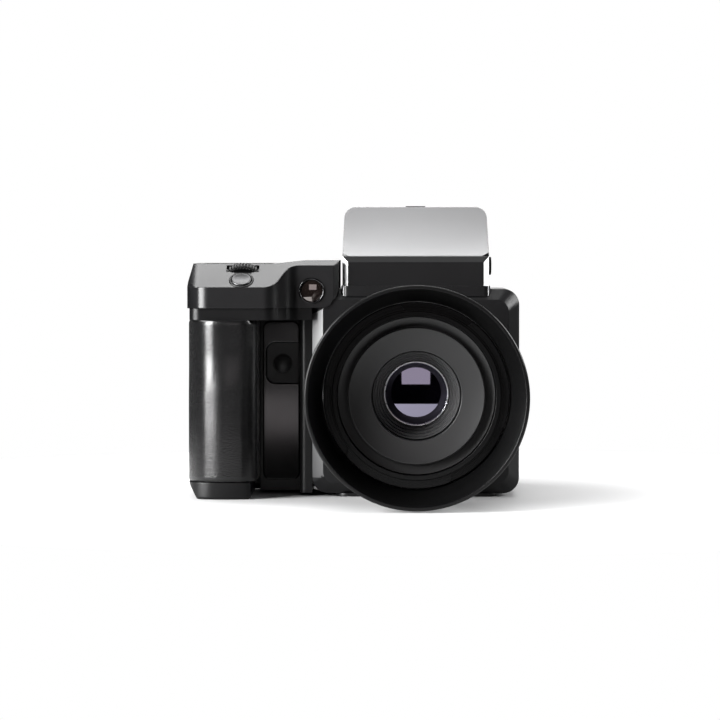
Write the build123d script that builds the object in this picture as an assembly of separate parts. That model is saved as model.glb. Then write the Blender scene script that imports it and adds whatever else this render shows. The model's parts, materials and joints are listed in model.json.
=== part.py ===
from build123d import *
import math
import os

# Medium format digital camera, in millimetres.
# +Z is up, the lens looks along -Y, and +X is to the right of someone who faces the lens.
# The origin is the mouth of the small tripod socket, in the base, under the lens axis.

# Main planes and axes of the camera
axis_z = 51.0
flange_y = -38.0
flange_to_sensor = 64.0
sensor_y = flange_y + flange_to_sensor
body_rear_y = 22.0
housing_front_y = -34.0
grip_front_y = -49.0

# Fits and cuts that all pieces share
overrun = 5.0
free_gap = 0.3
slide_gap = 0.1

# Front housing, the casing round the mirror box
housing_half_width = 49.0
housing_bottom_z = 1.5
housing_top_z = 98.4
housing_corner_radius = 7.6
housing_bevel = 5.1
housing_face_corner_radius = 5.8
housing_wall = 2.5
housing_front_wall = 6.0
housing_top_wall = 6.1

# Lens mount
throat_radius = 33.2
mount_bore_radius = 30.0
mount_outer_radius = 37.0
mount_spigot_depth = 2.5
mount_seat_gap = 0.05

# Screws, all of one size
screw_head_radius = 1.6
screw_head_height = 1.2
screw_shank_radius = 1.0
screw_shank_length = 2.6
mount_screw_count = 4

# Lens release button, beside the mount
release_radius = 2.4
release_gap = 1.8
release_x = mount_outer_radius + release_gap + release_radius
release_proud = 1.5

# Mirror box
mirror_box_half_width = 34.0
mirror_box_bottom_z = 24.0
mirror_box_top_z = 86.0
mirror_box_wall = 2.0
mirror_box_rear_y = 13.0
light_well_half_width = 26.0
light_well_front_y = -22.0
light_well_rear_y = 9.0

# Focusing screen
screen_half_width = 30.0
screen_margin = 3.0
screen_thickness = 2.2

# Reflex mirror and the small focus mirror behind it
mirror_hinge_y = 11.0
mirror_hinge_z = 73.0
mirror_length = 41.0
mirror_root_half_width = 29.0
mirror_tip_half_width = 21.0
mirror_thickness = 1.8
mirror_pin_radius = 1.0
sub_mirror_place = 26.0
sub_mirror_length = 15.0
sub_mirror_half_width = 13.0
sub_mirror_thickness = 1.0

# Focal-plane shutter
shutter_front_y = 13.0
shutter_half_width = 38.0
shutter_bottom_z = 8.0
shutter_top_z = 90.0
shutter_wall = 0.8
gate_half_width = 28.0
gate_height = 42.0
blade_count = 3
blade_overlap = 2.0
blade_thickness = 0.5
blade_gap = 0.4
blade_side_margin = 3.0
blade_stack_top_z = 29.0

# Base plate and tripod sockets
base_half_width = 38.0
base_front_y = -30.0
base_rear_y = 17.0
base_corner_radius = 6.0
small_bush_radius = 6.0
small_bush_height = 11.0
small_thread_radius = 2.55
small_thread_depth = 9.0
large_bush_radius = 8.0
large_thread_radius = 4.0
large_bush_y = -18.0
base_screw_inset = 5.0

# Hand grip and the side of the body behind it
pillar_width = 6.0
finger_gap = 19.5
grip_width = 32.5
pillar_left_x = -housing_half_width - pillar_width
grip_right_x = pillar_left_x - finger_gap
grip_left_x = grip_right_x - grip_width
grip_bulge = 3.2
grip_front_left_radius = 13.0
grip_front_right_radius = 8.0
grip_rear_radius = 8.0
rubber_bottom_z = 8.2
rubber_top_z = 83.9
rubber_thickness = 1.8
rubber_rear_y = 10.0
grip_wall = 2.5
grip_swell_shares = ((0.0, 0.55), (0.22, 0.85), (0.48, 0.60), (0.72, 1.0), (1.0, 0.55))
recess_y = -12.0
recess_corner_radius = 0.8
pillar_front_y = -28.0
pillar_radius = 3.0
neck_inset = 1.0

# Battery and its door
battery_width = 21.0
battery_depth = 38.0
battery_height = 70.0
battery_inset = 6.0
battery_left_x = grip_left_x + battery_inset
battery_front_y = -44.0
battery_corner_radius = 2.5
door_inset = 3.0
door_right_x = grip_right_x - door_inset
door_taper = 4.4
door_edge_radius = 1.25
door_hinge_y = -1.0
door_hinge_z = 1.9
door_barrel_radius = 1.6

# Recess panel and its button
panel_left_margin = 1.4
panel_right_margin = 0.4
panel_left_x = grip_right_x + panel_left_margin
panel_right_x = pillar_left_x - panel_right_margin
panel_bottom_z = 6.7
panel_top_z = 82.7
panel_thickness = 1.4
panel_corner_radius = 3.6
hollow_margin = 1.3
hollow_left_x = panel_left_x + hollow_margin
hollow_bottom_z = 52.4
hollow_top_z = 73.0
hollow_radius = 4.3
hollow_depth = 1.0
recess_button_inset = 8.1
recess_button_x = panel_right_x - recess_button_inset
recess_button_z = 62.4
recess_button_radius = 4.2
recess_button_dome = 1.3
recess_button_length = 5.5

# Width of the prism finder, which the top cover stops beside
finder_half_width = 34.7

# Top cover over the grip
cover_overhang = 0.4
cover_finder_gap = 1.7
cover_left_x = grip_left_x - cover_overhang
cover_right_x = -finder_half_width - cover_finder_gap
cover_bottom_z = 89.5
cover_left_top_z = 110.4
cover_right_top_z = 111.8
cover_rise_start = 11.0
cover_level_width = 16.6
cover_rise_start_x = pillar_left_x - cover_rise_start
cover_rise_end_x = cover_right_x - cover_level_width
cover_lamp_face_y = -35.0
cover_lamp_face_width = 18.2
wave_start = 2.5
wave_start_x = grip_right_x + wave_start
wave_end_x = cover_right_x - cover_lamp_face_width
slope_foot_z = 99.3
slope_angle = 36.0
cover_left_taper = 2.4
cover_front_radius = 6.5
cover_rear_radius = 8.0
cover_edge_chamfer = 2.3
cover_wall = 2.2
cover_corner_width = 6.1
cover_corner_height = 8.5
cover_corner_shares = ((0.0, 1.0), (0.26, 0.54), (0.54, 0.35), (0.62, 0.15), (1.0, 0.0))

# Shutter button, set in the slope
button_inset = 7.4
button_x = grip_right_x - button_inset
button_up_slope = 5.6
button_radius = 4.7
collar_radius = 5.75
collar_depth = 3.0
collar_lip = 0.35
button_proud = 0.9
button_length = 3.6

# Front dial, behind the shutter button
dial_inset = 7.0
dial_x = grip_right_x - dial_inset
dial_up_slope = 12.6
dial_radius = 11.0
dial_sink = 8.9
dial_thickness = 4.4
dial_slot_width = 15.2
dial_slot_skin = 0.9
dial_rib_count = 40
dial_groove_radius = 0.32
dial_shaft_radius = 1.5

# Rear dial and rear button
rear_dial_inset = 15.0
rear_dial_x = grip_left_x + rear_dial_inset
rear_dial_z = 101.0
rear_dial_radius = 9.0
rear_dial_thickness = 4.6
rear_dial_proud = 1.6
rear_button_inset = 20.0
rear_button_x = rear_dial_x + rear_button_inset
rear_button_z = 101.0
rear_button_radius = 3.4
rear_button_proud = 0.8
rear_button_length = 4.0

# Top display
display_inset = 6.4
display_width = 32.5
display_left_x = cover_left_x + display_inset
display_right_x = display_left_x + display_width
display_front_y = -24.0
display_rear_y = 12.0
display_thickness = 1.4
display_corner_radius = 2.0

# Focus-assist lamp
lamp_inset = 12.8
lamp_x = cover_right_x - lamp_inset
lamp_z = 97.5
lamp_ring_radius = 6.1
lamp_glass_radius = 5.0
lamp_ring_proud = 0.9
lamp_depth = 3.0
lamp_glass_crown = 0.7

# Strap bars, let into the sides
strap_y = 6.0
strap_width = 12.0
strap_height = 9.0
strap_depth = 4.0
strap_bar_radius = 1.1
strap_body_z = 86.0
strap_grip_z = 97.0
strap_frame = 1.2

# Side doors: the port cover on the body and the card door on the back
flap_thickness = 1.6
port_front_y = -16.0
port_rear_y = 12.0
port_bottom_z = 28.0
port_top_z = 68.0
card_front_y = 36.0
card_rear_y = 62.0
card_bottom_z = 24.0
card_top_z = 72.0
flap_corner_radius = 2.0

# Prism finder
finder_front_y = -31.0
finder_rear_y = 70.0
finder_foot_z = 94.8
finder_foot_top_z = 99.8
finder_foot_flare = 0.5
finder_foot_front_y = -33.0
finder_foot_rear_y = 20.0
finder_split_z = 113.8
finder_band_top_z = 111.0
finder_cap_front_y = -28.5
finder_corner_chamfer = 2.6
finder_cap_corner_width = 3.4
finder_cap_corner_depth = 1.8
finder_cap_taper = 0.8
finder_peak_z = 137.4
finder_peak_y = -5.0
finder_back_top_z = 125.0
finder_wall = 2.2
finder_floor = 1.4
finder_side_radius = 3.2
finder_roof_radius = 5.3
prism_half_width = 28.0
prism_rear_y = 18.0
prism_nose_height = 8.0
prism_crest_z = 130.0

# Eyepiece
eyepiece_z = 112.5
eyepiece_radius = 10.4
eyepiece_tube_radius = 12.4
eyepiece_glass_thickness = 5.0
eyecup_radius = 18.0
eyecup_depth = 7.5
eyecup_lip = 2.2
diopter_y = 54.0
diopter_z = 106.5
diopter_radius = 4.6
diopter_proud = 2.0

# Accessory shoe, sunk in the roof
shoe_y = 6.0
shoe_length = 20.0
shoe_half_width = 10.7
shoe_slot_half_width = 9.3
shoe_mouth_half_width = 6.3
shoe_slot_height = 2.1
shoe_plate = 1.0
shoe_lip = 1.0
shoe_stop_width = 9.3
shoe_stop_rise = 0.5
shoe_stop_length = 1.5

# Finder release lever
lever_front_y = -22.0
lever_length = 9.0
lever_bottom_z = 105.0
lever_height = 8.6
lever_thickness = 1.3

# Lens
bayonet_bore_radius = 24.0
bayonet_length = 3.4
barrel_flange_y = -40.0
barrel_rear_radius = 38.0
barrel_shoulder_y = -52.0
barrel_bore_radius = 26.1
barrel_tube_radius = 33.2
ring_rear_y = -52.3
ring_front_y = -83.7
ring_radius = 40.2
grip_band_radius = 41.2
grip_band_margin = 4.0
front_barrel_rear_y = -84.0
front_barrel_radius = 42.3
front_barrel_step_y = -100.0
lug_ring_radius = 38.8
lug_radius = 42.0
lug_count = 3
lug_thickness = 2.0
lug_angle = 74.0
lug_turn = 14.0
filter_rim_y = -106.0
filter_rim_radius = 38.2
filter_rim_length = 2.0
filter_thread_radius = 36.0
filter_thread_depth = 6.5
disc_radius = 31.1
disc_front_y = -105.2
disc_seat_radius = 35.7
disc_seat_thickness = 2.0
disc_bore_radius = 20.3

# Optical cell, which slides to focus
cell_radius = 25.8
cell_nose_radius = 20.0
cell_nose_y = -98.0
cell_shoulder_y = -92.5
cell_rear_y = -44.0
cell_nose_wall = 0.8
glass_y = -79.4
glass_radius = 14.7
glass_thickness = 6.0
glass_crown = 2.4
glass_rim = 0.6
trap_steps = 4
cell_bore_radius = 13.0
rear_glass_radius = 16.0
rear_glass_thickness = 5.0
iris_y = -62.0
iris_opening_radius = 7.0
iris_outer_radius = 12.8
iris_blades = 5
iris_blade_thickness = 0.2
iris_blade_pitch = 0.3
iris_blade_sweep = 110.0

# Lens hood
hood_rim_y = -130.0
hood_rim_radius = 50.35
hood_base_y = -90.0
hood_base_radius = 45.2
hood_bore_radius = 42.7
hood_wall = 1.7
hood_flare_y = -104.5
hood_rim_bevel = 0.6

# Digital back
back_step = 0.5
back_half_width = housing_half_width - back_step
back_bottom_z = 3.0
back_top_z = 91.0
back_rear_y = 68.0
back_corner_radius = 7.0
back_edge_radius = 2.0
back_wall = 2.5
back_front_wall = 2.0
sensor_half_width = 27.0
sensor_half_height = 20.2
carrier_margin = 8.0
carrier_half_width = back_half_width - back_wall - carrier_margin
carrier_half_height = 32.0
carrier_thickness = 5.0
back_display_margin = 15.5
back_display_half_width = back_half_width - back_display_margin
back_display_height = 50.0
back_display_z = 50.0
back_display_thickness = 1.4
key_inset = 7.9
key_x = back_half_width - key_inset
key_upper_z = 66.0
key_lower_z = 34.0
key_width = 7.0
key_height = 15.0
key_radius = 2.5
key_length = 3.6
key_proud = 0.8
latch_y = 32.0
latch_z = 78.0
latch_width = 7.0
latch_height = 13.0
latch_thickness = 1.8
back_screw_inset = 5.0


# Shape helpers

def block(x0, x1, y0, y1, z0, z1):
    """A box between three pairs of limits."""
    size = Box(x1 - x0, y1 - y0, z1 - z0)
    return Pos((x0 + x1) / 2, (y0 + y1) / 2, (z0 + z1) / 2) * size


def rounded_block(x0, x1, y0, y1, z0, z1, along, radius):
    """A box with its four edges along one axis rounded."""
    body = block(x0, x1, y0, y1, z0, z1)
    return fillet(body.edges().filter_by(along), radius)


def rod(start, end, radius):
    """A cylinder from one point to another."""
    line = Vector(*end) - Vector(*start)
    base = Plane(origin=start, z_dir=line)
    return base * Cylinder(radius, line.length, align=(Align.CENTER, Align.CENTER, Align.MIN))


def turned(profile):
    """A body of revolution about the lens axis, from (radius, y) corners."""
    face = make_face(Polyline(*profile, close=True))
    return Pos(0, 0, axis_z) * revolve(face, Axis.Y)


def tube(outer, inner, y0, y1):
    """A plain ring about the lens axis."""
    return turned([(inner, y0), (outer, y0), (outer, y1), (inner, y1)])


def raised(outline, z0, z1):
    """A plan outline given a height."""
    return Pos(0, 0, z0) * extrude(outline, amount=z1 - z0)


def drawn_y(points, y0, y1):
    """An outline of (x, z) corners carried along Y."""
    face = Plane.XZ * make_face(Polyline(*points, close=True))
    return Pos(0, y1, 0) * extrude(face, amount=y1 - y0)


def drawn_x(points, x0, x1):
    """An outline of (y, z) corners carried along X."""
    face = Plane.YZ * make_face(Polyline(*points, close=True))
    return Pos(x0, 0, 0) * extrude(face, amount=x1 - x0)


def sector(outer, inner, y0, y1, middle, sweep):
    """Part of a ring about the lens axis, its middle turned from the top."""
    steps = 4
    turns = [math.radians(90 + middle - sweep / 2 + sweep * step / steps) for step in range(steps + 1)]
    fan = [(2 * outer * math.cos(turn), 2 * outer * math.sin(turn)) for turn in turns]
    ring = Plane.XZ * (
        make_face(Polyline((0, 0), *fan, close=True)) & (Circle(outer) - Circle(inner))
    )
    return Pos(0, y1, axis_z) * extrude(ring, amount=y1 - y0)


def corner_nearest(outline, x, y):
    """The corner of a plan outline that lies nearest a place."""
    return outline.vertices().sort_by_distance(Vector(x, y, 0))[0]


# Outlines that several pieces share

slope_rise = math.tan(math.radians(slope_angle))
slope_foot = Plane(
    origin=(button_x, grip_front_y, slope_foot_z),
    x_dir=(1, 0, 0),
    z_dir=(0, -math.sin(math.radians(slope_angle)), math.cos(math.radians(slope_angle))),
)


def grip_plan(inset):
    """Plan of the grip, the finger gap and the pillar beside the housing."""
    left = grip_left_x + inset
    right = grip_right_x - inset
    front = grip_front_y + inset
    bulge = ThreePointArc(
        (left, front),
        ((left + right) / 2, front - grip_bulge),
        (right, front),
    )
    rest = Polyline(
        (right, front),
        (right, recess_y + inset),
        (pillar_left_x + inset, recess_y + inset),
        (pillar_left_x + inset, pillar_front_y + inset),
        (-housing_half_width, pillar_front_y + inset),
        (-housing_half_width, body_rear_y - inset),
        (left, body_rear_y - inset),
        (left, front),
    )
    outline = make_face([bulge, rest])
    outline = fillet(corner_nearest(outline, left, front), grip_front_left_radius - inset)
    outline = fillet(corner_nearest(outline, right, front), grip_front_right_radius - inset)
    outline = fillet(corner_nearest(outline, left, body_rear_y), grip_rear_radius - inset)
    outline = fillet(corner_nearest(outline, right, recess_y), recess_corner_radius + inset)
    return fillet(corner_nearest(outline, pillar_left_x, pillar_front_y), pillar_radius - inset)


def cover_plan(inset):
    """Plan of the top cover, with the wave in its front."""
    left = cover_left_x + inset
    right = cover_right_x - inset
    front = grip_front_y + inset
    lamp_face = cover_lamp_face_y + inset
    rear = body_rear_y - inset
    wave = Spline((wave_start_x, front), (wave_end_x, lamp_face), tangents=((1, 0), (1, 0)))
    rest = Polyline(
        (wave_end_x, lamp_face),
        (right - cover_edge_chamfer, lamp_face),
        (right, lamp_face + cover_edge_chamfer),
        (right, rear),
        (left, rear),
        (left, front),
        (wave_start_x, front),
    )
    outline = make_face([wave, rest])
    outline = fillet(corner_nearest(outline, left, front), cover_front_radius - inset)
    return fillet(corner_nearest(outline, left, rear), cover_rear_radius - inset)


def cover_shape(inset):
    """The top cover as a full solid, or its inside when the inset is its wall."""
    tall = raised(cover_plan(inset), cover_bottom_z, cover_right_top_z + overrun)
    corner = [
        (
            cover_right_x - inset - cover_corner_width * share_in,
            cover_bottom_z + cover_corner_height * share_up,
        )
        for share_in, share_up in cover_corner_shares
    ]
    front_view = drawn_y(
        [
            (cover_left_x + inset, cover_bottom_z),
            (cover_left_x + inset, slope_foot_z),
            (cover_left_x + inset + cover_left_taper, cover_left_top_z - inset),
            (cover_rise_start_x, cover_left_top_z - inset),
            (cover_rise_end_x, cover_right_top_z - inset),
            (cover_right_x - inset, cover_right_top_z - inset),
            *corner,
        ],
        grip_front_y - overrun,
        body_rear_y + overrun,
    )
    drop = inset / math.cos(math.radians(slope_angle))
    foot_y = grip_front_y - overrun
    foot_z = slope_foot_z - overrun * slope_rise - drop
    run = (cover_right_top_z + overrun - foot_z) / slope_rise
    above_slope = drawn_x(
        [(foot_y, foot_z), (foot_y + run, foot_z + run * slope_rise), (foot_y, foot_z + run * slope_rise)],
        cover_left_x - overrun,
        cover_right_x + overrun,
    )
    return (tall & front_view) - above_slope


def finder_plan(inset, front_y, corner_width, corner_depth):
    """Plan of the finder's case, with its two front corners cut."""
    side = finder_half_width - inset
    front = front_y + inset
    return make_face(Polyline(
        (-side, finder_rear_y - inset),
        (-side, front + corner_depth),
        (-side + corner_width, front),
        (side - corner_width, front),
        (side, front + corner_depth),
        (side, finder_rear_y - inset),
        close=True,
    ))


def shoe_slot_floor():
    """Height of the floor that an accessory's foot slides on."""
    return finder_peak_z - shoe_lip - shoe_slot_height


def finder_side(inset):
    """Corners of the finder's roof seen from the side."""
    slope = (finder_peak_z - finder_split_z) / (finder_peak_y - finder_cap_front_y)
    back = inset * math.hypot(1, slope) / slope
    step_y = shoe_y + shoe_length - inset
    return [
        (finder_cap_front_y + back, finder_split_z),
        (finder_peak_y + back - inset / slope, finder_peak_z - inset),
        (step_y, finder_peak_z - inset),
        (step_y, shoe_slot_floor() - inset),
        (finder_rear_y - inset, finder_back_top_z - inset),
        (finder_rear_y - inset, finder_split_z),
    ]


# Body casing and lens mount

def make_body_housing():
    """Casing with a bevelled front, open at the rear and under the finder."""
    width = 2 * housing_half_width
    height = housing_top_z - housing_bottom_z
    centre_z = (housing_top_z + housing_bottom_z) / 2
    bevel_y = housing_front_y + housing_bevel
    full = Plane.XZ * RectangleRounded(width, height, housing_corner_radius)
    face = Plane.XZ * RectangleRounded(
        width - 2 * housing_bevel, height - 2 * housing_bevel, housing_face_corner_radius
    )
    case = Pos(0, body_rear_y, centre_z) * extrude(full, amount=body_rear_y - bevel_y)
    case += loft([Pos(0, bevel_y, centre_z) * full, Pos(0, housing_front_y, centre_z) * face], ruled=True)
    case -= block(
        -housing_half_width + housing_wall,
        housing_half_width - housing_wall,
        housing_front_y + housing_front_wall,
        body_rear_y + overrun,
        housing_bottom_z + housing_wall,
        housing_top_z - housing_top_wall,
    )
    case -= tube(throat_radius, 0, housing_front_y - overrun, housing_front_y + housing_front_wall + overrun)
    case -= cover_shape(0)
    case -= finder_foot(0)
    case -= block(
        -light_well_half_width,
        light_well_half_width,
        light_well_front_y,
        light_well_rear_y,
        mirror_box_top_z,
        housing_top_z + overrun,
    )
    case -= rod(
        (release_x, housing_front_y - overrun, axis_z),
        (release_x, housing_front_y + housing_front_wall + overrun, axis_z),
        release_radius + slide_gap,
    )
    case -= flap(housing_half_width, port_front_y, port_rear_y, port_bottom_z, port_top_z, slide_gap)
    case -= strap_pocket(housing_half_width, strap_body_z)
    for x, y, radius in ((0, 0, small_bush_radius), (0, large_bush_y, large_bush_radius)):
        case -= rod((x, y, 0), (x, y, housing_bottom_z + housing_wall + overrun), radius)
    for place in base_screw_places():
        case -= rod(
            (*place, 0), (*place, screw_head_height + screw_shank_length + overrun), screw_shank_radius
        )
    for x, z in mount_screw_places():
        case -= rod((x, housing_front_y - overrun, z), (x, housing_front_y + housing_front_wall, z),
                    screw_shank_radius)
    return case


def make_lens_mount_ring():
    """Steel ring that the lens bayonets on, with a spigot in the throat."""
    ring = turned([
        (mount_bore_radius, flange_y),
        (mount_outer_radius, flange_y),
        (mount_outer_radius, housing_front_y),
        (throat_radius - mount_seat_gap, housing_front_y),
        (throat_radius - mount_seat_gap, housing_front_y + mount_spigot_depth),
        (mount_bore_radius, housing_front_y + mount_spigot_depth),
    ])
    for x, z in mount_screw_places():
        ring -= rod((x, flange_y, z), (x, flange_y + screw_head_height, z), screw_head_radius)
        ring -= rod((x, flange_y, z), (x, housing_front_y + overrun, z), screw_shank_radius)
    return ring


def mount_screw_places():
    """Places (x, z) of the screws round the lens mount."""
    radius = (mount_outer_radius + throat_radius) / 2
    turns = [math.radians(45 + 360 * n / mount_screw_count) for n in range(mount_screw_count)]
    return [(radius * math.cos(turn), axis_z + radius * math.sin(turn)) for turn in turns]


def base_screw_places():
    """Places (x, y) of the screws in the base plate."""
    x = base_half_width - base_screw_inset
    return [
        (side * x, y)
        for side in (-1, 1)
        for y in (base_front_y + base_screw_inset, base_rear_y - base_screw_inset)
    ]


def back_screw_places():
    """Places (x, z) of the screws in the rear of the digital back."""
    x = back_half_width - back_screw_inset
    return [
        (side * x, z)
        for side in (-1, 1)
        for z in (back_bottom_z + back_screw_inset, back_top_z - back_screw_inset)
    ]


def screw(head, direction):
    """One countersunk screw, from the middle of its head's outer face."""
    head = Vector(*head)
    direction = Vector(*direction)
    neck = head + direction * screw_head_height
    tip = neck + direction * screw_shank_length
    return rod(tuple(head), tuple(neck), screw_head_radius) + rod(tuple(neck), tuple(tip), screw_shank_radius)


def make_case_screws():
    """All the screws of the casing, alike and separate."""
    screws = [screw((x, flange_y, z), (0, 1, 0)) for x, z in mount_screw_places()]
    screws += [screw((x, y, 0), (0, 0, 1)) for x, y in base_screw_places()]
    screws += [screw((x, back_rear_y, z), (0, -1, 0)) for x, z in back_screw_places()]
    return Compound(screws)


def make_lens_release_button():
    """Round button through the front wall of the housing."""
    front = housing_front_y - release_proud
    return rod(
        (release_x, front, axis_z),
        (release_x, housing_front_y + housing_front_wall, axis_z),
        release_radius,
    )


def strap_pocket(side_x, z):
    """The hole in a side wall that a strap bar sits in."""
    inward = -math.copysign(strap_depth, side_x)
    outward = math.copysign(overrun, side_x)
    x0, x1 = sorted((side_x + inward, side_x + outward))
    return block(
        x0, x1, strap_y - strap_width / 2, strap_y + strap_width / 2,
        z - strap_height / 2, z + strap_height / 2,
    )


def strap_bar(side_x, z):
    """A cup with a bar across its mouth, flush with the side."""
    x0, x1 = sorted((side_x, side_x - math.copysign(strap_depth, side_x)))
    half_width = strap_width / 2
    half_height = strap_height / 2
    cup = block(x0, x1, strap_y - half_width, strap_y + half_width, z - half_height, z + half_height)
    mouth0, mouth1 = sorted((side_x + math.copysign(overrun, side_x),
                             side_x - math.copysign(strap_depth - strap_frame, side_x)))
    cup -= block(
        mouth0, mouth1,
        strap_y - half_width + strap_frame, strap_y + half_width - strap_frame,
        z - half_height + strap_frame, z + half_height - strap_frame,
    )
    bar_x = side_x - math.copysign(strap_bar_radius, side_x)
    return cup + rod(
        (bar_x, strap_y, z - half_height + strap_frame / 2),
        (bar_x, strap_y, z + half_height - strap_frame / 2),
        strap_bar_radius,
    )


def make_strap_bars():
    """The two strap bars, one in the body's side and one in the top cover's."""
    return Compound([strap_bar(housing_half_width, strap_body_z), strap_bar(cover_left_x, strap_grip_z)])


def flap(side_x, front_y, rear_y, bottom_z, top_z, growth):
    """A thin door flush in a right-hand side wall, or its seat when it has a growth."""
    return rounded_block(
        side_x - flap_thickness - growth,
        side_x + (overrun if growth else 0),
        front_y - growth,
        rear_y + growth,
        bottom_z - growth,
        top_z + growth,
        Axis.X,
        flap_corner_radius,
    )


# Mirror box, mirrors, screen and shutter

def make_mirror_box():
    """Light-tight box behind the lens mount, with a well for the screen in its roof."""
    box = block(
        -mirror_box_half_width, mirror_box_half_width,
        housing_front_y + housing_front_wall, mirror_box_rear_y,
        mirror_box_bottom_z, mirror_box_top_z,
    )
    box -= block(
        -mirror_box_half_width + mirror_box_wall, mirror_box_half_width - mirror_box_wall,
        housing_front_y, mirror_box_rear_y + overrun,
        mirror_box_bottom_z + mirror_box_wall, mirror_box_top_z - mirror_box_wall,
    )
    box -= block(
        -light_well_half_width, light_well_half_width,
        light_well_front_y, light_well_rear_y,
        mirror_box_top_z - mirror_box_wall - overrun, mirror_box_top_z + overrun,
    )
    return box - rod(
        (-mirror_box_half_width, mirror_hinge_y, mirror_hinge_z),
        (mirror_box_half_width, mirror_hinge_y, mirror_hinge_z),
        mirror_pin_radius + slide_gap,
    )


def make_focusing_screen():
    """Ground glass that lies on the roof of the mirror box."""
    return block(
        -screen_half_width, screen_half_width,
        light_well_front_y - screen_margin, light_well_rear_y + screen_margin,
        mirror_box_top_z, mirror_box_top_z + screen_thickness,
    )


def make_reflex_mirror():
    """Mirror plate at 45 degrees, carried on a pin at its upper rear edge."""
    plate = make_face(Polyline(
        (-mirror_root_half_width, 0),
        (mirror_root_half_width, 0),
        (mirror_tip_half_width, mirror_length),
        (-mirror_tip_half_width, mirror_length),
        close=True,
    ))
    lie = Plane(origin=(0, mirror_hinge_y, mirror_hinge_z), x_dir=(1, 0, 0), z_dir=(0, 1, -1))
    mirror = lie * extrude(plate, amount=mirror_thickness / 2, both=True)
    return mirror + rod(
        (-mirror_box_half_width, mirror_hinge_y, mirror_hinge_z),
        (mirror_box_half_width, mirror_hinge_y, mirror_hinge_z),
        mirror_pin_radius,
    )


def sub_mirror_hinge():
    """Place (y, z) of the small mirror's hinge, behind the main one."""
    along = sub_mirror_place / math.sqrt(2)
    off = (mirror_thickness / 2 + sub_mirror_thickness / 2 + free_gap) / math.sqrt(2)
    return mirror_hinge_y - along + off, mirror_hinge_z - along - off


def make_sub_mirror():
    """Small mirror hung behind the main one, square to it."""
    y, z = sub_mirror_hinge()
    lie = Plane(origin=(0, y, z), x_dir=(1, 0, 0), z_dir=(0, 1, 1))
    plate = Box(
        2 * sub_mirror_half_width, sub_mirror_length, sub_mirror_thickness,
        align=(Align.CENTER, Align.MIN, Align.CENTER),
    )
    return lie * plate


def blade_height():
    """Height of one shutter blade, with its overlap."""
    return gate_height / blade_count + blade_overlap


def make_shutter_frame():
    """Frame with the picture gate and the slot that the blades run in."""
    depth = 2 * shutter_wall + blade_count * blade_thickness + (blade_count + 1) * blade_gap
    gate_bottom = axis_z - gate_height / 2
    gate_top = axis_z + gate_height / 2
    frame = block(
        -shutter_half_width, shutter_half_width,
        shutter_front_y, shutter_front_y + depth, shutter_bottom_z, shutter_top_z,
    )
    frame -= block(
        -gate_half_width, gate_half_width,
        shutter_front_y - overrun, shutter_front_y + depth + overrun, gate_bottom, gate_top,
    )
    slot_half_width = gate_half_width + blade_side_margin + free_gap
    return frame - block(
        -slot_half_width, slot_half_width,
        shutter_front_y + shutter_wall, shutter_front_y + depth - shutter_wall,
        blade_stack_top_z - blade_height() - free_gap, gate_top + blade_overlap + free_gap,
    )


def make_shutter_blade(number):
    """One blade of the curtain; number 0 is the top one, which travels furthest."""
    y = shutter_front_y + shutter_wall + blade_gap + number * (blade_thickness + blade_gap)
    top = axis_z + gate_height / 2 + blade_overlap / 2 - number * gate_height / blade_count
    half_width = gate_half_width + blade_side_margin
    return block(-half_width, half_width, y, y + blade_thickness, top - blade_height(), top)


# Base plate and tripod sockets

def make_base_plate():
    """Flat plate that the camera stands on, with holes for the sockets and screws."""
    plate = rounded_block(
        -base_half_width, base_half_width, base_front_y, base_rear_y, 0, housing_bottom_z,
        Axis.Z, base_corner_radius,
    )
    plate -= rod((0, 0, 0), (0, 0, housing_bottom_z), small_bush_radius)
    plate -= rod((0, large_bush_y, 0), (0, large_bush_y, housing_bottom_z), large_bush_radius)
    for place in base_screw_places():
        plate -= rod((*place, 0), (*place, screw_head_height), screw_head_radius)
        plate -= rod((*place, 0), (*place, housing_bottom_z), screw_shank_radius)
    return plate


def make_tripod_bush(y, radius, thread_radius):
    """Steel bush with a blind tapped hole, open at the base."""
    bush = rod((0, y, 0), (0, y, small_bush_height), radius)
    return bush - rod((0, y, 0), (0, y, small_thread_depth), thread_radius)


# Grip, battery and door

def grip_front_view():
    """The grip's swell, as a solid that its front is cut to."""
    height = rubber_top_z - rubber_bottom_z
    swell = [
        (grip_front_y - grip_bulge * share_out, rubber_bottom_z + height * share_up)
        for share_up, share_out in grip_swell_shares
    ]
    front = Spline(*swell)
    rest = Polyline(
        swell[-1],
        (body_rear_y + overrun, rubber_top_z),
        (body_rear_y + overrun, rubber_bottom_z),
        swell[0],
    )
    face = Plane.YZ * make_face([front, rest])
    return Pos(grip_left_x - overrun, 0, 0) * extrude(face, amount=-2 * grip_left_x)


def make_grip_rubber():
    """Rubber skin round the outer side, front and inner side of the grip."""
    skin = raised(grip_plan(0), rubber_bottom_z, rubber_top_z) & grip_front_view()
    skin -= raised(grip_plan(rubber_thickness), rubber_bottom_z, rubber_top_z)
    return skin & block(
        grip_left_x, grip_right_x, grip_front_y - grip_bulge - overrun, rubber_rear_y, rubber_bottom_z,
        rubber_top_z,
    ) - block(
        grip_left_x + rubber_thickness, grip_right_x + overrun,
        recess_y - recess_corner_radius - panel_thickness, rubber_rear_y, rubber_bottom_z, rubber_top_z,
    )


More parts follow.
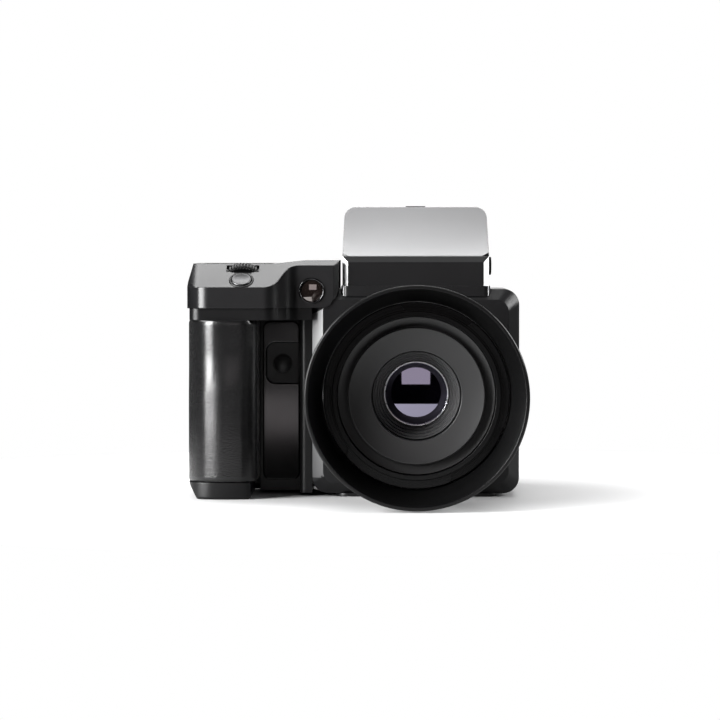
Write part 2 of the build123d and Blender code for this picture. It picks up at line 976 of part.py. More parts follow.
def make_grip_housing():
    """Casing of the grip and body side: battery well, finger gap, pillar and neck."""
    side = raised(grip_plan(rubber_thickness), rubber_bottom_z, rubber_top_z)
    full = raised(grip_plan(0), rubber_bottom_z, rubber_top_z)
    side += full & block(
        grip_left_x - overrun, -housing_half_width, rubber_rear_y, body_rear_y, rubber_bottom_z, rubber_top_z
    )
    side += full & block(
        grip_right_x, -housing_half_width, pillar_front_y, body_rear_y, rubber_bottom_z, rubber_top_z
    )
    foot = raised(grip_plan(0), housing_bottom_z, rubber_bottom_z)
    side += foot - block(
        grip_left_x - overrun, grip_right_x, grip_front_y - grip_bulge - overrun,
        door_hinge_y, 0, rubber_bottom_z,
    )
    neck = raised(cover_plan(neck_inset), rubber_top_z, cover_bottom_z)
    side += neck & block(
        cover_left_x, -housing_half_width, grip_front_y, body_rear_y, rubber_top_z, cover_bottom_z
    )
    side -= battery_box(free_gap, overrun)
    side -= block(
        grip_left_x + rubber_thickness + grip_wall, -housing_half_width - grip_wall,
        battery_front_y + battery_depth + grip_wall, body_rear_y - grip_wall,
        rubber_bottom_z, cover_bottom_z + overrun,
    )
    side -= rod(
        (grip_left_x - overrun, door_hinge_y, door_hinge_z),
        (grip_right_x, door_hinge_y, door_hinge_z),
        door_barrel_radius + free_gap,
    )
    return side - rod(
        (recess_button_x, recess_y - overrun, recess_button_z),
        (recess_button_x, recess_y + recess_button_length + overrun, recess_button_z),
        recess_button_radius + slide_gap,
    )


def battery_box(growth, below):
    """The battery's block, or its well when it has a growth."""
    return block(
        battery_left_x - growth, battery_left_x + battery_width + growth,
        battery_front_y - growth, battery_front_y + battery_depth + growth,
        rubber_bottom_z - below, rubber_bottom_z + battery_height + growth,
    )


def make_battery():
    """Rechargeable pack that stands in the grip."""
    pack = battery_box(0, 0)
    return fillet(pack.edges().filter_by(Axis.Z), battery_corner_radius)


def make_battery_door():
    """Foot of the grip, hinged at its rear edge."""
    top = rubber_bottom_z - free_gap
    plan = grip_plan(free_gap)
    door = raised(plan, 0, top) & block(
        grip_left_x, door_right_x, grip_front_y - grip_bulge, door_hinge_y, 0, top
    )
    door &= drawn_y(
        [
            (grip_left_x, top),
            (grip_left_x + door_taper, 0),
            (door_right_x, 0),
            (door_right_x, top),
        ],
        grip_front_y - grip_bulge - overrun,
        door_hinge_y + overrun,
    )
    door = fillet(door.faces().sort_by(Axis.Z)[0].edges(), door_edge_radius)
    return door + rod(
        (grip_left_x + door_taper, door_hinge_y, door_hinge_z),
        (door_right_x, door_hinge_y, door_hinge_z),
        door_barrel_radius,
    )


def make_recess_panel():
    """Plate in the finger gap, with the hollow for its button."""
    panel = rounded_block(
        panel_left_x, panel_right_x, recess_y - panel_thickness, recess_y,
        panel_bottom_z, panel_top_z, Axis.Y, panel_corner_radius,
    )
    hollow = rounded_block(
        hollow_left_x, panel_right_x + 2 * hollow_radius,
        recess_y - panel_thickness - overrun, recess_y - panel_thickness + hollow_depth,
        hollow_bottom_z, hollow_top_z, Axis.Y, hollow_radius,
    )
    panel -= hollow
    return panel - rod(
        (recess_button_x, recess_y - overrun, recess_button_z),
        (recess_button_x, recess_y + overrun, recess_button_z),
        recess_button_radius + slide_gap,
    )


def make_recess_button():
    """Round button with a domed cap, in the hollow."""
    front = recess_y - panel_thickness
    stem = rod(
        (recess_button_x, front, recess_button_z),
        (recess_button_x, front + recess_button_length, recess_button_z),
        recess_button_radius,
    )
    dome_radius = (recess_button_radius**2 + recess_button_dome**2) / (2 * recess_button_dome)
    ball_y = front - recess_button_dome + dome_radius
    ball = Pos(recess_button_x, ball_y, recess_button_z) * Sphere(dome_radius)
    return stem + (ball & rod(
        (recess_button_x, front - recess_button_dome, recess_button_z),
        (recess_button_x, front, recess_button_z),
        recess_button_radius,
    ))


# Top cover and its controls

def on_slope(x, up):
    """Plane on the slope of the top cover, its Z square to the slope."""
    return slope_foot * Pos(x - button_x, up, 0)


def dial_slot(growth):
    """Room for the front dial, square to the slope."""
    length = dial_thickness + 2 * growth
    mouth = Box(dial_slot_width, length, dial_radius, align=(Align.CENTER, Align.MIN, Align.CENTER))
    well = Rot(-90, 0, 0) * Cylinder(
        dial_radius + growth, length, align=(Align.CENTER, Align.CENTER, Align.MIN)
    )
    well = Pos(0, 0, -dial_sink) * well
    skin = Box(
        2 * (dial_radius + overrun), length + overrun, dial_radius, align=(Align.CENTER, Align.MIN, Align.MIN)
    )
    well -= Pos(0, 0, -dial_slot_skin) * skin
    return on_slope(dial_x, dial_up_slope - growth) * (mouth + well)


def make_top_cover():
    """Shell over the grip, with the wave-edged slope, its holes and its walls."""
    cover = cover_shape(0) - cover_shape(cover_wall)
    cover -= on_slope(button_x, button_up_slope) * Cylinder(collar_radius, 2 * overrun)
    cover -= dial_slot(free_gap)
    cover -= rod(
        (lamp_x, cover_lamp_face_y - overrun, lamp_z), (lamp_x, cover_lamp_face_y + overrun, lamp_z),
        lamp_ring_radius,
    )
    cover -= display_block(slide_gap, overrun)
    cover -= rod(
        (rear_dial_x, rear_dial_centre_y(), rear_dial_z - rear_dial_thickness / 2 - free_gap),
        (rear_dial_x, rear_dial_centre_y(), rear_dial_z + rear_dial_thickness / 2 + free_gap),
        rear_dial_radius + free_gap,
    )
    cover -= rod(
        (rear_button_x, body_rear_y - overrun, rear_button_z),
        (rear_button_x, body_rear_y + overrun, rear_button_z),
        rear_button_radius + slide_gap,
    )
    return cover - strap_pocket(cover_left_x, strap_grip_z)


def make_shutter_collar():
    """Ring let into the slope round the shutter button."""
    ring = Cylinder(collar_radius, collar_depth + collar_lip, align=(Align.CENTER, Align.CENTER, Align.MAX))
    ring -= Cylinder(button_radius + slide_gap, 2 * overrun)
    return on_slope(button_x, button_up_slope) * Pos(0, 0, collar_lip) * ring


def make_shutter_button():
    """Round button, pressed square to the slope."""
    cap = Cylinder(button_radius, button_length, align=(Align.CENTER, Align.CENTER, Align.MAX))
    cap = chamfer(cap.edges().group_by(Axis.Z)[-1], collar_lip)
    return on_slope(button_x, button_up_slope) * Pos(0, 0, button_proud) * cap


def ribbed_wheel(radius, thickness):
    """A wheel with grooves round its rim, its axis along Z."""
    face = Circle(radius) - PolarLocations(radius, dial_rib_count) * Circle(dial_groove_radius)
    return extrude(face, amount=thickness)


def make_front_dial():
    """Knurled wheel that turns about an axis along the slope."""
    wheel = Rot(-90, 0, 0) * (
        ribbed_wheel(dial_radius, dial_thickness)
        + Pos(0, 0, -free_gap / 2) * Cylinder(
            dial_shaft_radius, dial_thickness + free_gap, align=(Align.CENTER, Align.CENTER, Align.MIN)
        )
    )
    return on_slope(dial_x, dial_up_slope) * Pos(0, 0, -dial_sink) * wheel


def rear_dial_centre_y():
    """Where the rear dial's axis stands, so that its rim shows behind the cover."""
    return body_rear_y + rear_dial_proud - rear_dial_radius


def make_rear_dial():
    """Knurled wheel that stands out of the rear of the cover."""
    wheel = ribbed_wheel(rear_dial_radius, rear_dial_thickness)
    return Pos(rear_dial_x, rear_dial_centre_y(), rear_dial_z - rear_dial_thickness / 2) * wheel


def make_rear_button():
    """Round button in the rear of the cover."""
    return rod(
        (rear_button_x, body_rear_y + rear_button_proud - rear_button_length, rear_button_z),
        (rear_button_x, body_rear_y + rear_button_proud, rear_button_z),
        rear_button_radius,
    )


def display_block(growth, rise):
    """The top display's glass, or its seat when it has a growth."""
    return rounded_block(
        display_left_x - growth, display_right_x + growth,
        display_front_y - growth, display_rear_y + growth,
        cover_left_top_z - display_thickness, cover_left_top_z + rise,
        Axis.Z, display_corner_radius,
    )


def make_lamp_ring():
    """Bright ring of the focus-assist lamp."""
    at = (lamp_x, cover_lamp_face_y - lamp_ring_proud, lamp_z)
    ring = rod(at, (lamp_x, cover_lamp_face_y + lamp_depth, lamp_z), lamp_ring_radius)
    ring -= rod(at, (lamp_x, cover_lamp_face_y + lamp_depth, lamp_z), lamp_glass_radius)
    return ring


def make_lamp_glass():
    """Crowned glass inside the lamp's ring."""
    crown_radius = (lamp_glass_radius**2 + lamp_glass_crown**2) / (2 * lamp_glass_crown)
    ball = Pos(lamp_x, cover_lamp_face_y - lamp_glass_crown + crown_radius, lamp_z) * Sphere(crown_radius)
    pane = rod(
        (lamp_x, cover_lamp_face_y - lamp_glass_crown, lamp_z),
        (lamp_x, cover_lamp_face_y + lamp_depth, lamp_z),
        lamp_glass_radius,
    )
    return pane & ball


# Prism finder

def finder_foot(growth):
    """Foot plate of the finder, sunk in the roof of the housing."""
    half_width = finder_half_width + finder_foot_flare + growth
    return rounded_block(
        -half_width, half_width, finder_foot_front_y - growth, finder_foot_rear_y + growth,
        finder_foot_z, finder_foot_top_z, Axis.Z, finder_side_radius,
    )


def eyepiece_hole():
    """Hole through the rear walls of the finder, for the eyecup's tube."""
    return rod(
        (0, finder_rear_y - finder_wall - overrun, eyepiece_z),
        (0, finder_rear_y + overrun, eyepiece_z),
        eyepiece_tube_radius,
    )


def make_finder_body():
    """Lower case of the finder: foot, floor with its light well, and walls."""
    corner = finder_corner_chamfer
    case = raised(finder_plan(0, finder_front_y, corner, corner), finder_foot_top_z, finder_split_z)
    case -= drawn_x(
        [
            (finder_front_y, finder_band_top_z),
            (finder_cap_front_y, finder_split_z),
            (finder_front_y, finder_split_z),
        ],
        -finder_half_width,
        finder_half_width,
    )
    floor_z = finder_foot_top_z + finder_floor
    inside = finder_plan(finder_wall, finder_cap_front_y, corner, corner)
    case -= raised(inside, floor_z, finder_split_z + overrun)
    case += finder_foot(0)
    case -= block(
        -light_well_half_width, light_well_half_width, light_well_front_y, light_well_rear_y,
        finder_foot_z - overrun, floor_z,
    )
    return case - eyepiece_hole()


def make_finder_cap():
    """Upper case of the finder, with the sloped face and the sunk shoe's seat."""
    front_view = make_face(Polyline(
        (-finder_half_width, finder_split_z),
        (-finder_half_width + finder_cap_taper, finder_peak_z),
        (finder_half_width - finder_cap_taper, finder_peak_z),
        (finder_half_width, finder_split_z),
        close=True,
    ))
    front_view = fillet(front_view.vertices().sort_by(Axis.Y)[-2:], finder_roof_radius)
    cap = Pos(0, finder_rear_y, 0) * extrude(Plane.XZ * front_view, amount=finder_rear_y - finder_cap_front_y)
    cap &= drawn_x(finder_side(0), -finder_half_width, finder_half_width)
    plan = finder_plan(0, finder_cap_front_y, finder_cap_corner_width, finder_cap_corner_depth)
    cap &= raised(plan, finder_split_z, finder_peak_z)
    cap -= drawn_x(
        finder_side(finder_wall), -finder_half_width + finder_wall, finder_half_width - finder_wall
    )
    cap -= shoe_block()
    return cap - eyepiece_hole()


def make_prism():
    """Glass block that turns the image to the eyepiece."""
    floor_z = finder_foot_top_z + finder_floor
    return drawn_x(
        [
            (light_well_front_y - screen_margin, floor_z),
            (light_well_front_y - screen_margin, floor_z + prism_nose_height),
            (finder_peak_y, prism_crest_z),
            (prism_rear_y, prism_crest_z),
            (prism_rear_y, floor_z),
        ],
        -prism_half_width,
        prism_half_width,
    )


def make_eyepiece_lens():
    """Glass of the eyepiece, in the eyecup's tube."""
    rear = finder_rear_y
    return rod((0, rear - eyepiece_glass_thickness, eyepiece_z), (0, rear, eyepiece_z), eyepiece_radius)


def make_eyecup():
    """Rubber cup with a tube that sits in the rear wall of the finder."""
    start = finder_rear_y - finder_wall
    profile = [
        (eyepiece_radius, start),
        (eyepiece_tube_radius, start),
        (eyepiece_tube_radius, finder_rear_y),
        (eyecup_radius - eyecup_lip, finder_rear_y),
        (eyecup_radius, finder_rear_y + eyecup_depth),
        (eyecup_radius - eyecup_lip, finder_rear_y + eyecup_depth),
        (eyepiece_radius, finder_rear_y + eyecup_lip),
    ]
    return Pos(0, 0, eyepiece_z - axis_z) * turned(profile)


def shoe_block():
    """The shoe's outer block, which is also its seat in the roof."""
    height = shoe_plate + shoe_slot_height + shoe_lip
    return block(
        -shoe_half_width, shoe_half_width, shoe_y, shoe_y + shoe_length, finder_peak_z - height, finder_peak_z
    )


def make_accessory_shoe():
    """Shoe with two lips, open to the rear, and a low stop at its front."""
    slot_z = shoe_slot_floor()
    shoe = shoe_block()
    shoe -= block(
        -shoe_slot_half_width, shoe_slot_half_width, shoe_y + shoe_stop_length, shoe_y + shoe_length,
        slot_z, slot_z + shoe_slot_height,
    )
    shoe -= block(
        -shoe_mouth_half_width, shoe_mouth_half_width, shoe_y + shoe_stop_length, shoe_y + shoe_length,
        slot_z, finder_peak_z,
    )
    return shoe + block(
        -shoe_stop_width / 2, shoe_stop_width / 2, shoe_y, shoe_y + shoe_stop_length,
        slot_z, finder_peak_z + shoe_stop_rise,
    )


def make_diopter_knob():
    """Small ribbed knob on the side of the finder."""
    knob = ribbed_wheel(diopter_radius, diopter_proud)
    return Pos(finder_half_width + slide_gap, diopter_y, diopter_z) * Rot(0, 90, 0) * knob


def make_finder_lever():
    """Sliding release on the side of the finder."""
    return rounded_block(
        finder_half_width + slide_gap, finder_half_width + slide_gap + lever_thickness,
        lever_front_y, lever_front_y + lever_length, lever_bottom_z, lever_bottom_z + lever_height,
        Axis.X, flap_corner_radius,
    )


# Lens

def make_lens_bayonet():
    """Rear bayonet of the lens, in the bore of the mount ring."""
    return turned([
        (bayonet_bore_radius, barrel_flange_y),
        (mount_outer_radius, barrel_flange_y),
        (mount_outer_radius, flange_y),
        (mount_bore_radius - mount_seat_gap, flange_y),
        (mount_bore_radius - mount_seat_gap, flange_y + bayonet_length),
        (bayonet_bore_radius, flange_y + bayonet_length),
    ])


def make_lens_barrel():
    """Fixed barrel: the rear collar and the tube that carries everything in front."""
    tube_end = filter_rim_y + filter_thread_depth
    return turned([
        (barrel_bore_radius, barrel_flange_y),
        (barrel_rear_radius, barrel_flange_y),
        (barrel_rear_radius, barrel_shoulder_y),
        (barrel_tube_radius, barrel_shoulder_y),
        (barrel_tube_radius, tube_end),
        (barrel_bore_radius, tube_end),
    ])


def make_focus_ring():
    """Turning ring between the rear collar and the front barrel."""
    return tube(ring_radius, barrel_tube_radius + free_gap, ring_front_y, ring_rear_y)


def make_focus_grip():
    """Rubber band round the focus ring."""
    front = ring_front_y + grip_band_margin
    return tube(grip_band_radius, ring_radius, front, ring_rear_y - grip_band_margin)


def make_front_barrel():
    """Front barrel with the filter rim, its thread and three lugs for the hood."""
    thread_end = filter_rim_y + filter_thread_depth
    rim_rear = filter_rim_y + filter_rim_length
    barrel = turned([
        (filter_thread_radius, filter_rim_y),
        (filter_rim_radius, filter_rim_y),
        (filter_rim_radius, rim_rear),
        (lug_ring_radius, rim_rear),
        (lug_ring_radius, front_barrel_step_y),
        (front_barrel_radius, front_barrel_step_y),
        (front_barrel_radius, front_barrel_rear_y),
        (barrel_tube_radius + mount_seat_gap, front_barrel_rear_y),
        (barrel_tube_radius + mount_seat_gap, thread_end),
        (filter_thread_radius, thread_end),
    ])
    for number in range(lug_count):
        barrel += sector(
            lug_radius, lug_ring_radius - hood_rim_bevel, rim_rear, rim_rear + lug_thickness,
            lug_turn + 360 * number / lug_count, lug_angle,
        )
    return barrel


def make_front_disc():
    """Flat retaining disc that closes the front of the barrel round the light trap."""
    seat_front = filter_rim_y + filter_thread_depth - disc_seat_thickness
    return turned([
        (disc_bore_radius, disc_front_y),
        (disc_radius, disc_front_y),
        (disc_radius, seat_front),
        (disc_seat_radius, seat_front),
        (disc_seat_radius, seat_front + disc_seat_thickness),
        (disc_bore_radius, seat_front + disc_seat_thickness),
    ])


def make_optical_cell():
    """Sliding cell: the stepped light trap in front, the seats of the glasses, the iris room."""
    step_depth = (glass_y - cell_nose_y - glass_rim) / trap_steps
    step_in = (cell_nose_radius - cell_nose_wall - glass_radius) / trap_steps
    profile = [(cell_nose_radius, cell_nose_y)]
    profile.append((cell_nose_radius - cell_nose_wall, cell_nose_y))
    for step in range(trap_steps):
        y = cell_nose_y + (step + 1) * step_depth
        radius = cell_nose_radius - cell_nose_wall - step * step_in
        profile.append((radius - step_in / 2, y))
        if step < trap_steps - 1:
            profile.append((radius - step_in, y))
    glass_rear = glass_y + glass_thickness
    profile.append((glass_radius, cell_nose_y + trap_steps * step_depth))
    profile.append((glass_radius, glass_rear))
    profile.append((cell_bore_radius, glass_rear))
    profile.append((cell_bore_radius, cell_rear_y - rear_glass_thickness))
    profile.append((rear_glass_radius, cell_rear_y - rear_glass_thickness))
    profile.append((rear_glass_radius, cell_rear_y))
    profile.append((cell_radius, cell_rear_y))
    profile.append((cell_radius, cell_shoulder_y))
    profile.append((cell_nose_radius, cell_shoulder_y))
    return turned(profile)


def lens_glass(radius, front_y, thickness, crown):
    """A glass with a crowned front and a flat rear."""
    crown_radius = (radius**2 + crown**2) / (2 * crown)
    ball = Pos(0, front_y - crown + crown_radius, axis_z) * Sphere(crown_radius)
    return tube(radius, 0, front_y - crown, front_y + thickness) & ball


def make_front_glass():
    """Front glass of the lens, deep in the light trap."""
    return lens_glass(glass_radius, glass_y, glass_thickness, glass_crown)


def make_rear_glass():
    """Rear glass of the lens."""
    return tube(rear_glass_radius, 0, cell_rear_y - rear_glass_thickness, cell_rear_y)


def make_iris_blades():
    """Leaf blades round the opening, each in its own plane."""
    blades = []
    for number in range(iris_blades):
        y = iris_y + number * iris_blade_pitch
        blades.append(sector(
            iris_outer_radius, iris_opening_radius, y, y + iris_blade_thickness,
            360 * number / iris_blades, iris_blade_sweep,
        ))
    return Compound(blades)


def make_lens_hood():
    """Flared round hood with a bevelled rim."""
    inner_rim = hood_rim_radius - hood_wall
    return turned([
        (hood_bore_radius, hood_base_y),
        (hood_base_radius, hood_base_y),
        (hood_base_radius, hood_flare_y + hood_wall),
        (hood_rim_radius, hood_rim_y + hood_rim_bevel),
        (hood_rim_radius - hood_rim_bevel, hood_rim_y),
        (inner_rim, hood_rim_y),
        (hood_bore_radius, hood_flare_y),
    ])


# Digital back

def make_back_housing():
    """Case of the digital back, open round the sensor, with seats for what it carries."""
    case = rounded_block(
        -back_half_width, back_half_width, body_rear_y, back_rear_y, back_bottom_z, back_top_z,
        Axis.Y, back_corner_radius,
    )
    case = fillet(case.faces().sort_by(Axis.Y)[-1].edges(), back_edge_radius)
    case -= rounded_block(
        -back_half_width + back_wall, back_half_width - back_wall,
        body_rear_y + back_front_wall, back_rear_y - back_wall,
        back_bottom_z + back_wall, back_top_z - back_wall,
        Axis.Y, back_corner_radius - back_wall,
    )
    case -= block(
        -sensor_half_width - blade_side_margin, sensor_half_width + blade_side_margin,
        body_rear_y - overrun, body_rear_y + back_front_wall,
        axis_z - sensor_half_height - blade_overlap, axis_z + sensor_half_height + blade_overlap,
    )
    case -= back_display_block(slide_gap, overrun)
    for place in key_places():
        case -= key(place, slide_gap, overrun)
    case -= flap(back_half_width, card_front_y, card_rear_y, card_bottom_z, card_top_z, slide_gap)
    for x, z in back_screw_places():
        case -= rod((x, back_rear_y, z), (x, back_rear_y - screw_head_height, z), screw_head_radius)
        case -= rod((x, back_rear_y, z), (x, back_rear_y - back_wall - overrun, z), screw_shank_radius)
    return case


def make_sensor():
    """Image sensor on its carrier plate, which sits on the front wall of the back."""
    carrier = block(
        -carrier_half_width, carrier_half_width,
        body_rear_y + back_front_wall, body_rear_y + back_front_wall + carrier_thickness,
        axis_z - carrier_half_height, axis_z + carrier_half_height,
    )
    return carrier - block(
        -sensor_half_width, sensor_half_width, body_rear_y, sensor_y,
        axis_z - sensor_half_height, axis_z + sensor_half_height,
    )


def back_display_block(growth, rise):
    """The rear display's glass, or its seat when it has a growth."""
    return rounded_block(
        -back_display_half_width - growth, back_display_half_width + growth,
        back_rear_y - back_display_thickness, back_rear_y + rise,
        back_display_z - back_display_height / 2 - growth, back_display_z + back_display_height / 2 + growth,
        Axis.Y, display_corner_radius,
    )


def key_places():
    """Places (x, z) of the four keys beside the rear display."""
    return [(side * key_x, z) for side in (-1, 1) for z in (key_upper_z, key_lower_z)]


def key(place, growth, rise):
    """One key of the back, or its hole when it has a growth."""
    x, z = place
    top = back_rear_y + (rise if growth else key_proud)
    return rounded_block(
        x - key_width / 2 - growth, x + key_width / 2 + growth,
        back_rear_y + key_proud - key_length - rise * (1 if growth else 0), top,
        z - key_height / 2 - growth, z + key_height / 2 + growth,
        Axis.Y, key_radius,
    )


def make_back_latch():
    """Sliding latch on the left side of the back."""
    return rounded_block(
        -back_half_width - slide_gap - latch_thickness, -back_half_width - slide_gap,
        latch_y - latch_width / 2, latch_y + latch_width / 2,
        latch_z - latch_height / 2, latch_z + latch_height / 2,
        Axis.X, flap_corner_radius,
    )


# Every node and the piece that it holds

nodes = {
    "body_housing": make_body_housing(),
    "mirror_box": make_mirror_box(),
    "lens_mount_ring": make_lens_mount_ring(),
    "case_screws": make_case_screws(),
    "lens_release_button": make_lens_release_button(),
    "focusing_screen": make_focusing_screen(),
    "reflex_mirror": make_reflex_mirror(),
    "sub_mirror": make_sub_mirror(),
    "shutter_frame": make_shutter_frame(),
    "base_plate": make_base_plate(),
    "tripod_bush_small": make_tripod_bush(0, small_bush_radius, small_thread_radius),
    "tripod_bush_large": make_tripod_bush(large_bush_y, large_bush_radius, large_thread_radius),
    "strap_bars": make_strap_bars(),
    "port_cover": flap(housing_half_width, port_front_y, port_rear_y, port_bottom_z, port_top_z, 0),
    "grip_housing": make_grip_housing(),
    "grip_rubber": make_grip_rubber(),
    "battery": make_battery(),
    "battery_door": make_battery_door(),
    "recess_panel": make_recess_panel(),
    "recess_button": make_recess_button(),
    "top_cover": make_top_cover(),
    "top_display": display_block(0, 0),
    "shutter_collar": make_shutter_collar(),
    "shutter_button": make_shutter_button(),
    "front_dial": make_front_dial(),
    "rear_dial": make_rear_dial(),
    "rear_button": make_rear_button(),
    "lamp_ring": make_lamp_ring(),
    "lamp_glass": make_lamp_glass(),
    "finder_body": make_finder_body(),
    "finder_cap": make_finder_cap(),
    "prism_glass": make_prism(),
    "eyepiece_lens": make_eyepiece_lens(),
    "eyecup": make_eyecup(),
    "accessory_shoe": make_accessory_shoe(),
    "diopter_knob": make_diopter_knob(),
    "finder_lever": make_finder_lever(),
    "lens_bayonet": make_lens_bayonet(),
    "lens_barrel": make_lens_barrel(),
    "focus_ring": make_focus_ring(),
    "focus_grip": make_focus_grip(),
    "front_barrel": make_front_barrel(),
    "front_disc": make_front_disc(),
    "optical_cell": make_optical_cell(),
    "front_glass": make_front_glass(),
    "rear_glass": make_rear_glass(),
    "iris_blades": make_iris_blades(),
    "lens_hood": make_lens_hood(),
    "back_housing": make_back_housing(),
    "sensor": make_sensor(),
    "back_display": back_display_block(0, 0),
    "card_door": flap(back_half_width, card_front_y, card_rear_y, card_bottom_z, card_top_z, 0),
    "back_latch": make_back_latch(),
}
for number in range(blade_count):
    nodes[f"shutter_blade_{number + 1}"] = make_shutter_blade(number)
for number, place in enumerate(key_places()):
    nodes[f"back_key_{number + 1}"] = key(place, 0, 0)

os.makedirs("parts", exist_ok=True)
for name, piece in nodes.items():
    export_step(piece, f"parts/{name}.step")
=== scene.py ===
import bmesh
import bpy
import json
import math
import numpy as np
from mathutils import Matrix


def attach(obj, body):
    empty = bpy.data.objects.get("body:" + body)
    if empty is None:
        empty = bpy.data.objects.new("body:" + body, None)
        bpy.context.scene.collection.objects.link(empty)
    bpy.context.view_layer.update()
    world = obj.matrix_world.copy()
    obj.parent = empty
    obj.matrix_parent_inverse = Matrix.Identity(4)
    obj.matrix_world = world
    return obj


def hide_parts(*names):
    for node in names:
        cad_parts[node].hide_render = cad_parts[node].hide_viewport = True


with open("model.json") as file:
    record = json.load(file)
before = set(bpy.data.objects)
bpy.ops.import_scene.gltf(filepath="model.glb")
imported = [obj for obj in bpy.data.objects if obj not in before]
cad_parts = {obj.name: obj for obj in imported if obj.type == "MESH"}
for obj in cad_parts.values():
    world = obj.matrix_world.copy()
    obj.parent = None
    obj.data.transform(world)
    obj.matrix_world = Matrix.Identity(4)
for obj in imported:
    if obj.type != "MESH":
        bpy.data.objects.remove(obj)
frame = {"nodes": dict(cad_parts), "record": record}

mm = 0.001
lensHeight = 51.0  # of the lens axis over the base, in mm
weldGap = 0.000002  # points closer together than this, in m, become one
record = frame["record"]
bodyOfNode = {node: body for body, nodes in record["behaviour"]["bodies"].items() for node in nodes}
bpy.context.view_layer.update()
print("frame loaded with", len(frame["nodes"]), "nodes")


# shader maths: a socket that can be added, subtracted, multiplied and raised to a power

class Wire:
    def __init__(self, finish, socket):
        self.finish = finish
        self.socket = socket

    def maths(self, operation, first, second):
        return self.finish.node("ShaderNodeMath", {"operation": operation}, {0: first, 1: second})

    def __add__(self, other):
        return self.maths("ADD", self, other)

    def __radd__(self, other):
        return self.maths("ADD", other, self)

    def __sub__(self, other):
        return self.maths("SUBTRACT", self, other)

    def __rsub__(self, other):
        return self.maths("SUBTRACT", other, self)

    def __mul__(self, other):
        return self.maths("MULTIPLY", self, other)

    def __rmul__(self, other):
        return self.maths("MULTIPLY", other, self)

    def __pow__(self, other):
        return self.maths("POWER", self, other)

    def above(self, limit):
        # 1 over the limit, 0 under it
        return self.maths("GREATER_THAN", self, limit)

    def atLeast(self, limit):
        # the larger of the value and the limit
        return self.maths("MAXIMUM", self, limit)


class Finish:
    def __init__(self, name, holder=None):
        # the nodes of a new material, or of a holder such as the world
        self.material = holder or bpy.data.materials.new(name)
        self.material.use_nodes = True
        self.tree = self.material.node_tree
        self.tree.nodes.clear()

    def node(self, kind, settings=None, inputs=None, output=0):
        # a node of a type, with its settings and the values or links of its sockets
        made = self.tree.nodes.new(kind)
        for key, value in (settings or {}).items():
            setattr(made, key, value)
        for key, value in (inputs or {}).items():
            if isinstance(value, Wire):
                self.tree.links.new(value.socket, made.inputs[key])
            else:
                made.inputs[key].default_value = value
        return Wire(self, made.outputs[output]) if len(made.outputs) else None

    def place(self):
        return self.node("ShaderNodeTexCoord", output="Object")

    def placeFrom(self, centre):
        # the place less a centre
        return self.node("ShaderNodeMapping", None, {
            "Vector": self.place(), "Location": [-v for v in centre],
        })

    def acrossAndUp(self, vector):
        # the X and the Z of a place
        parts = self.node("ShaderNodeSeparateXYZ", None, {0: vector}).socket.node.outputs
        return Wire(self, parts["X"]), Wire(self, parts["Z"])

    def noise(self, scale, detail, vector=None):
        return self.node("ShaderNodeTexNoise", None, {
            "Vector": vector or self.place(), "Scale": scale, "Detail": detail, "Roughness": 0.55,
        })

    def shade(self, factor, dark, light):
        # a colour between two, by a factor
        return self.node("ShaderNodeMix", {"data_type": "RGBA"},
                         {0: factor, 6: (*dark, 1), 7: (*light, 1)}, 2)

    def span(self, value, low, high):
        # a number from 0..1 carried to low..high
        return value * (high - low) + low

    def mottle(self, drift, grains, dark, light):
        # a colour between two, by 0.6 of a slow drift and 0.25 of a grain
        return self.shade(self.span(drift, 0.2, 0.8) + grains * 0.25, dark, light)

    def surface(self, edge=0.0, relief=None, depth=0.0, strength=1.0, **inputs):
        # edge rounds the corners in the shading, relief is a height in units of depth
        normal = None
        if edge:
            normal = self.node("ShaderNodeBevel", {"samples": 6}, {"Radius": edge})
        if relief is not None:
            bump = {"Height": relief, "Distance": depth, "Strength": strength}
            if normal:
                bump["Normal"] = normal
            normal = self.node("ShaderNodeBump", None, bump)
        if normal:
            inputs["Normal"] = normal
        shader = self.node("ShaderNodeBsdfPrincipled", None, inputs)
        self.node("ShaderNodeOutputMaterial", None, {"Surface": shader})
        return self.material


# finishes of the camera

edges = dict(paint=0.0005, turned=0.0003, polished=0.0002, rubber=0.0006, plastic=0.0003)
reliefs = dict(silver=0.000006, turned=0.000003, wear=0.00001, plastic=0.0000075, glass=0.00001)


def grainyPaint(name, dark, light, metallic, rough, grain=5200.0, depth=0.00002, gloss=0.4,
                shoulder=None):
    # fine powder grain in the relief, with slow drifts of tone and gloss; a shoulder, given as its
    # start across and its pull, below a height and above it, sinks the surface outward of the start
    # by the pull times the distance squared, as a hand-rubbed corner does
    finish = Finish(name)
    drift = finish.noise(38.0, 4.0)
    grains = finish.noise(grain, 2.0)
    relief = grains * depth
    if shoulder:
        across, upward = finish.acrossAndUp(finish.place())
        (lowStart, lowPull), (highStart, highPull), height = shoulder
        lowRoll = (lowStart - across).atLeast(0.0)
        highRoll = (highStart - across).atLeast(0.0)
        isHigh = upward.above(height)
        relief = relief - (1.0 - isHigh) * lowRoll * lowRoll * lowPull
        relief = relief - isHigh * highRoll * highRoll * highPull
    return finish.surface(
        edges["paint"], relief, 1.0, 1.0 if shoulder else 0.6,
        **{
            "Base Color": finish.mottle(drift, grains, dark, light),
            "Roughness": finish.span(drift, rough - 0.05, rough + 0.05) + grains * 0.06 - 0.03,
            "Metallic": metallic,
            "Specular IOR Level": gloss,
        },
    )


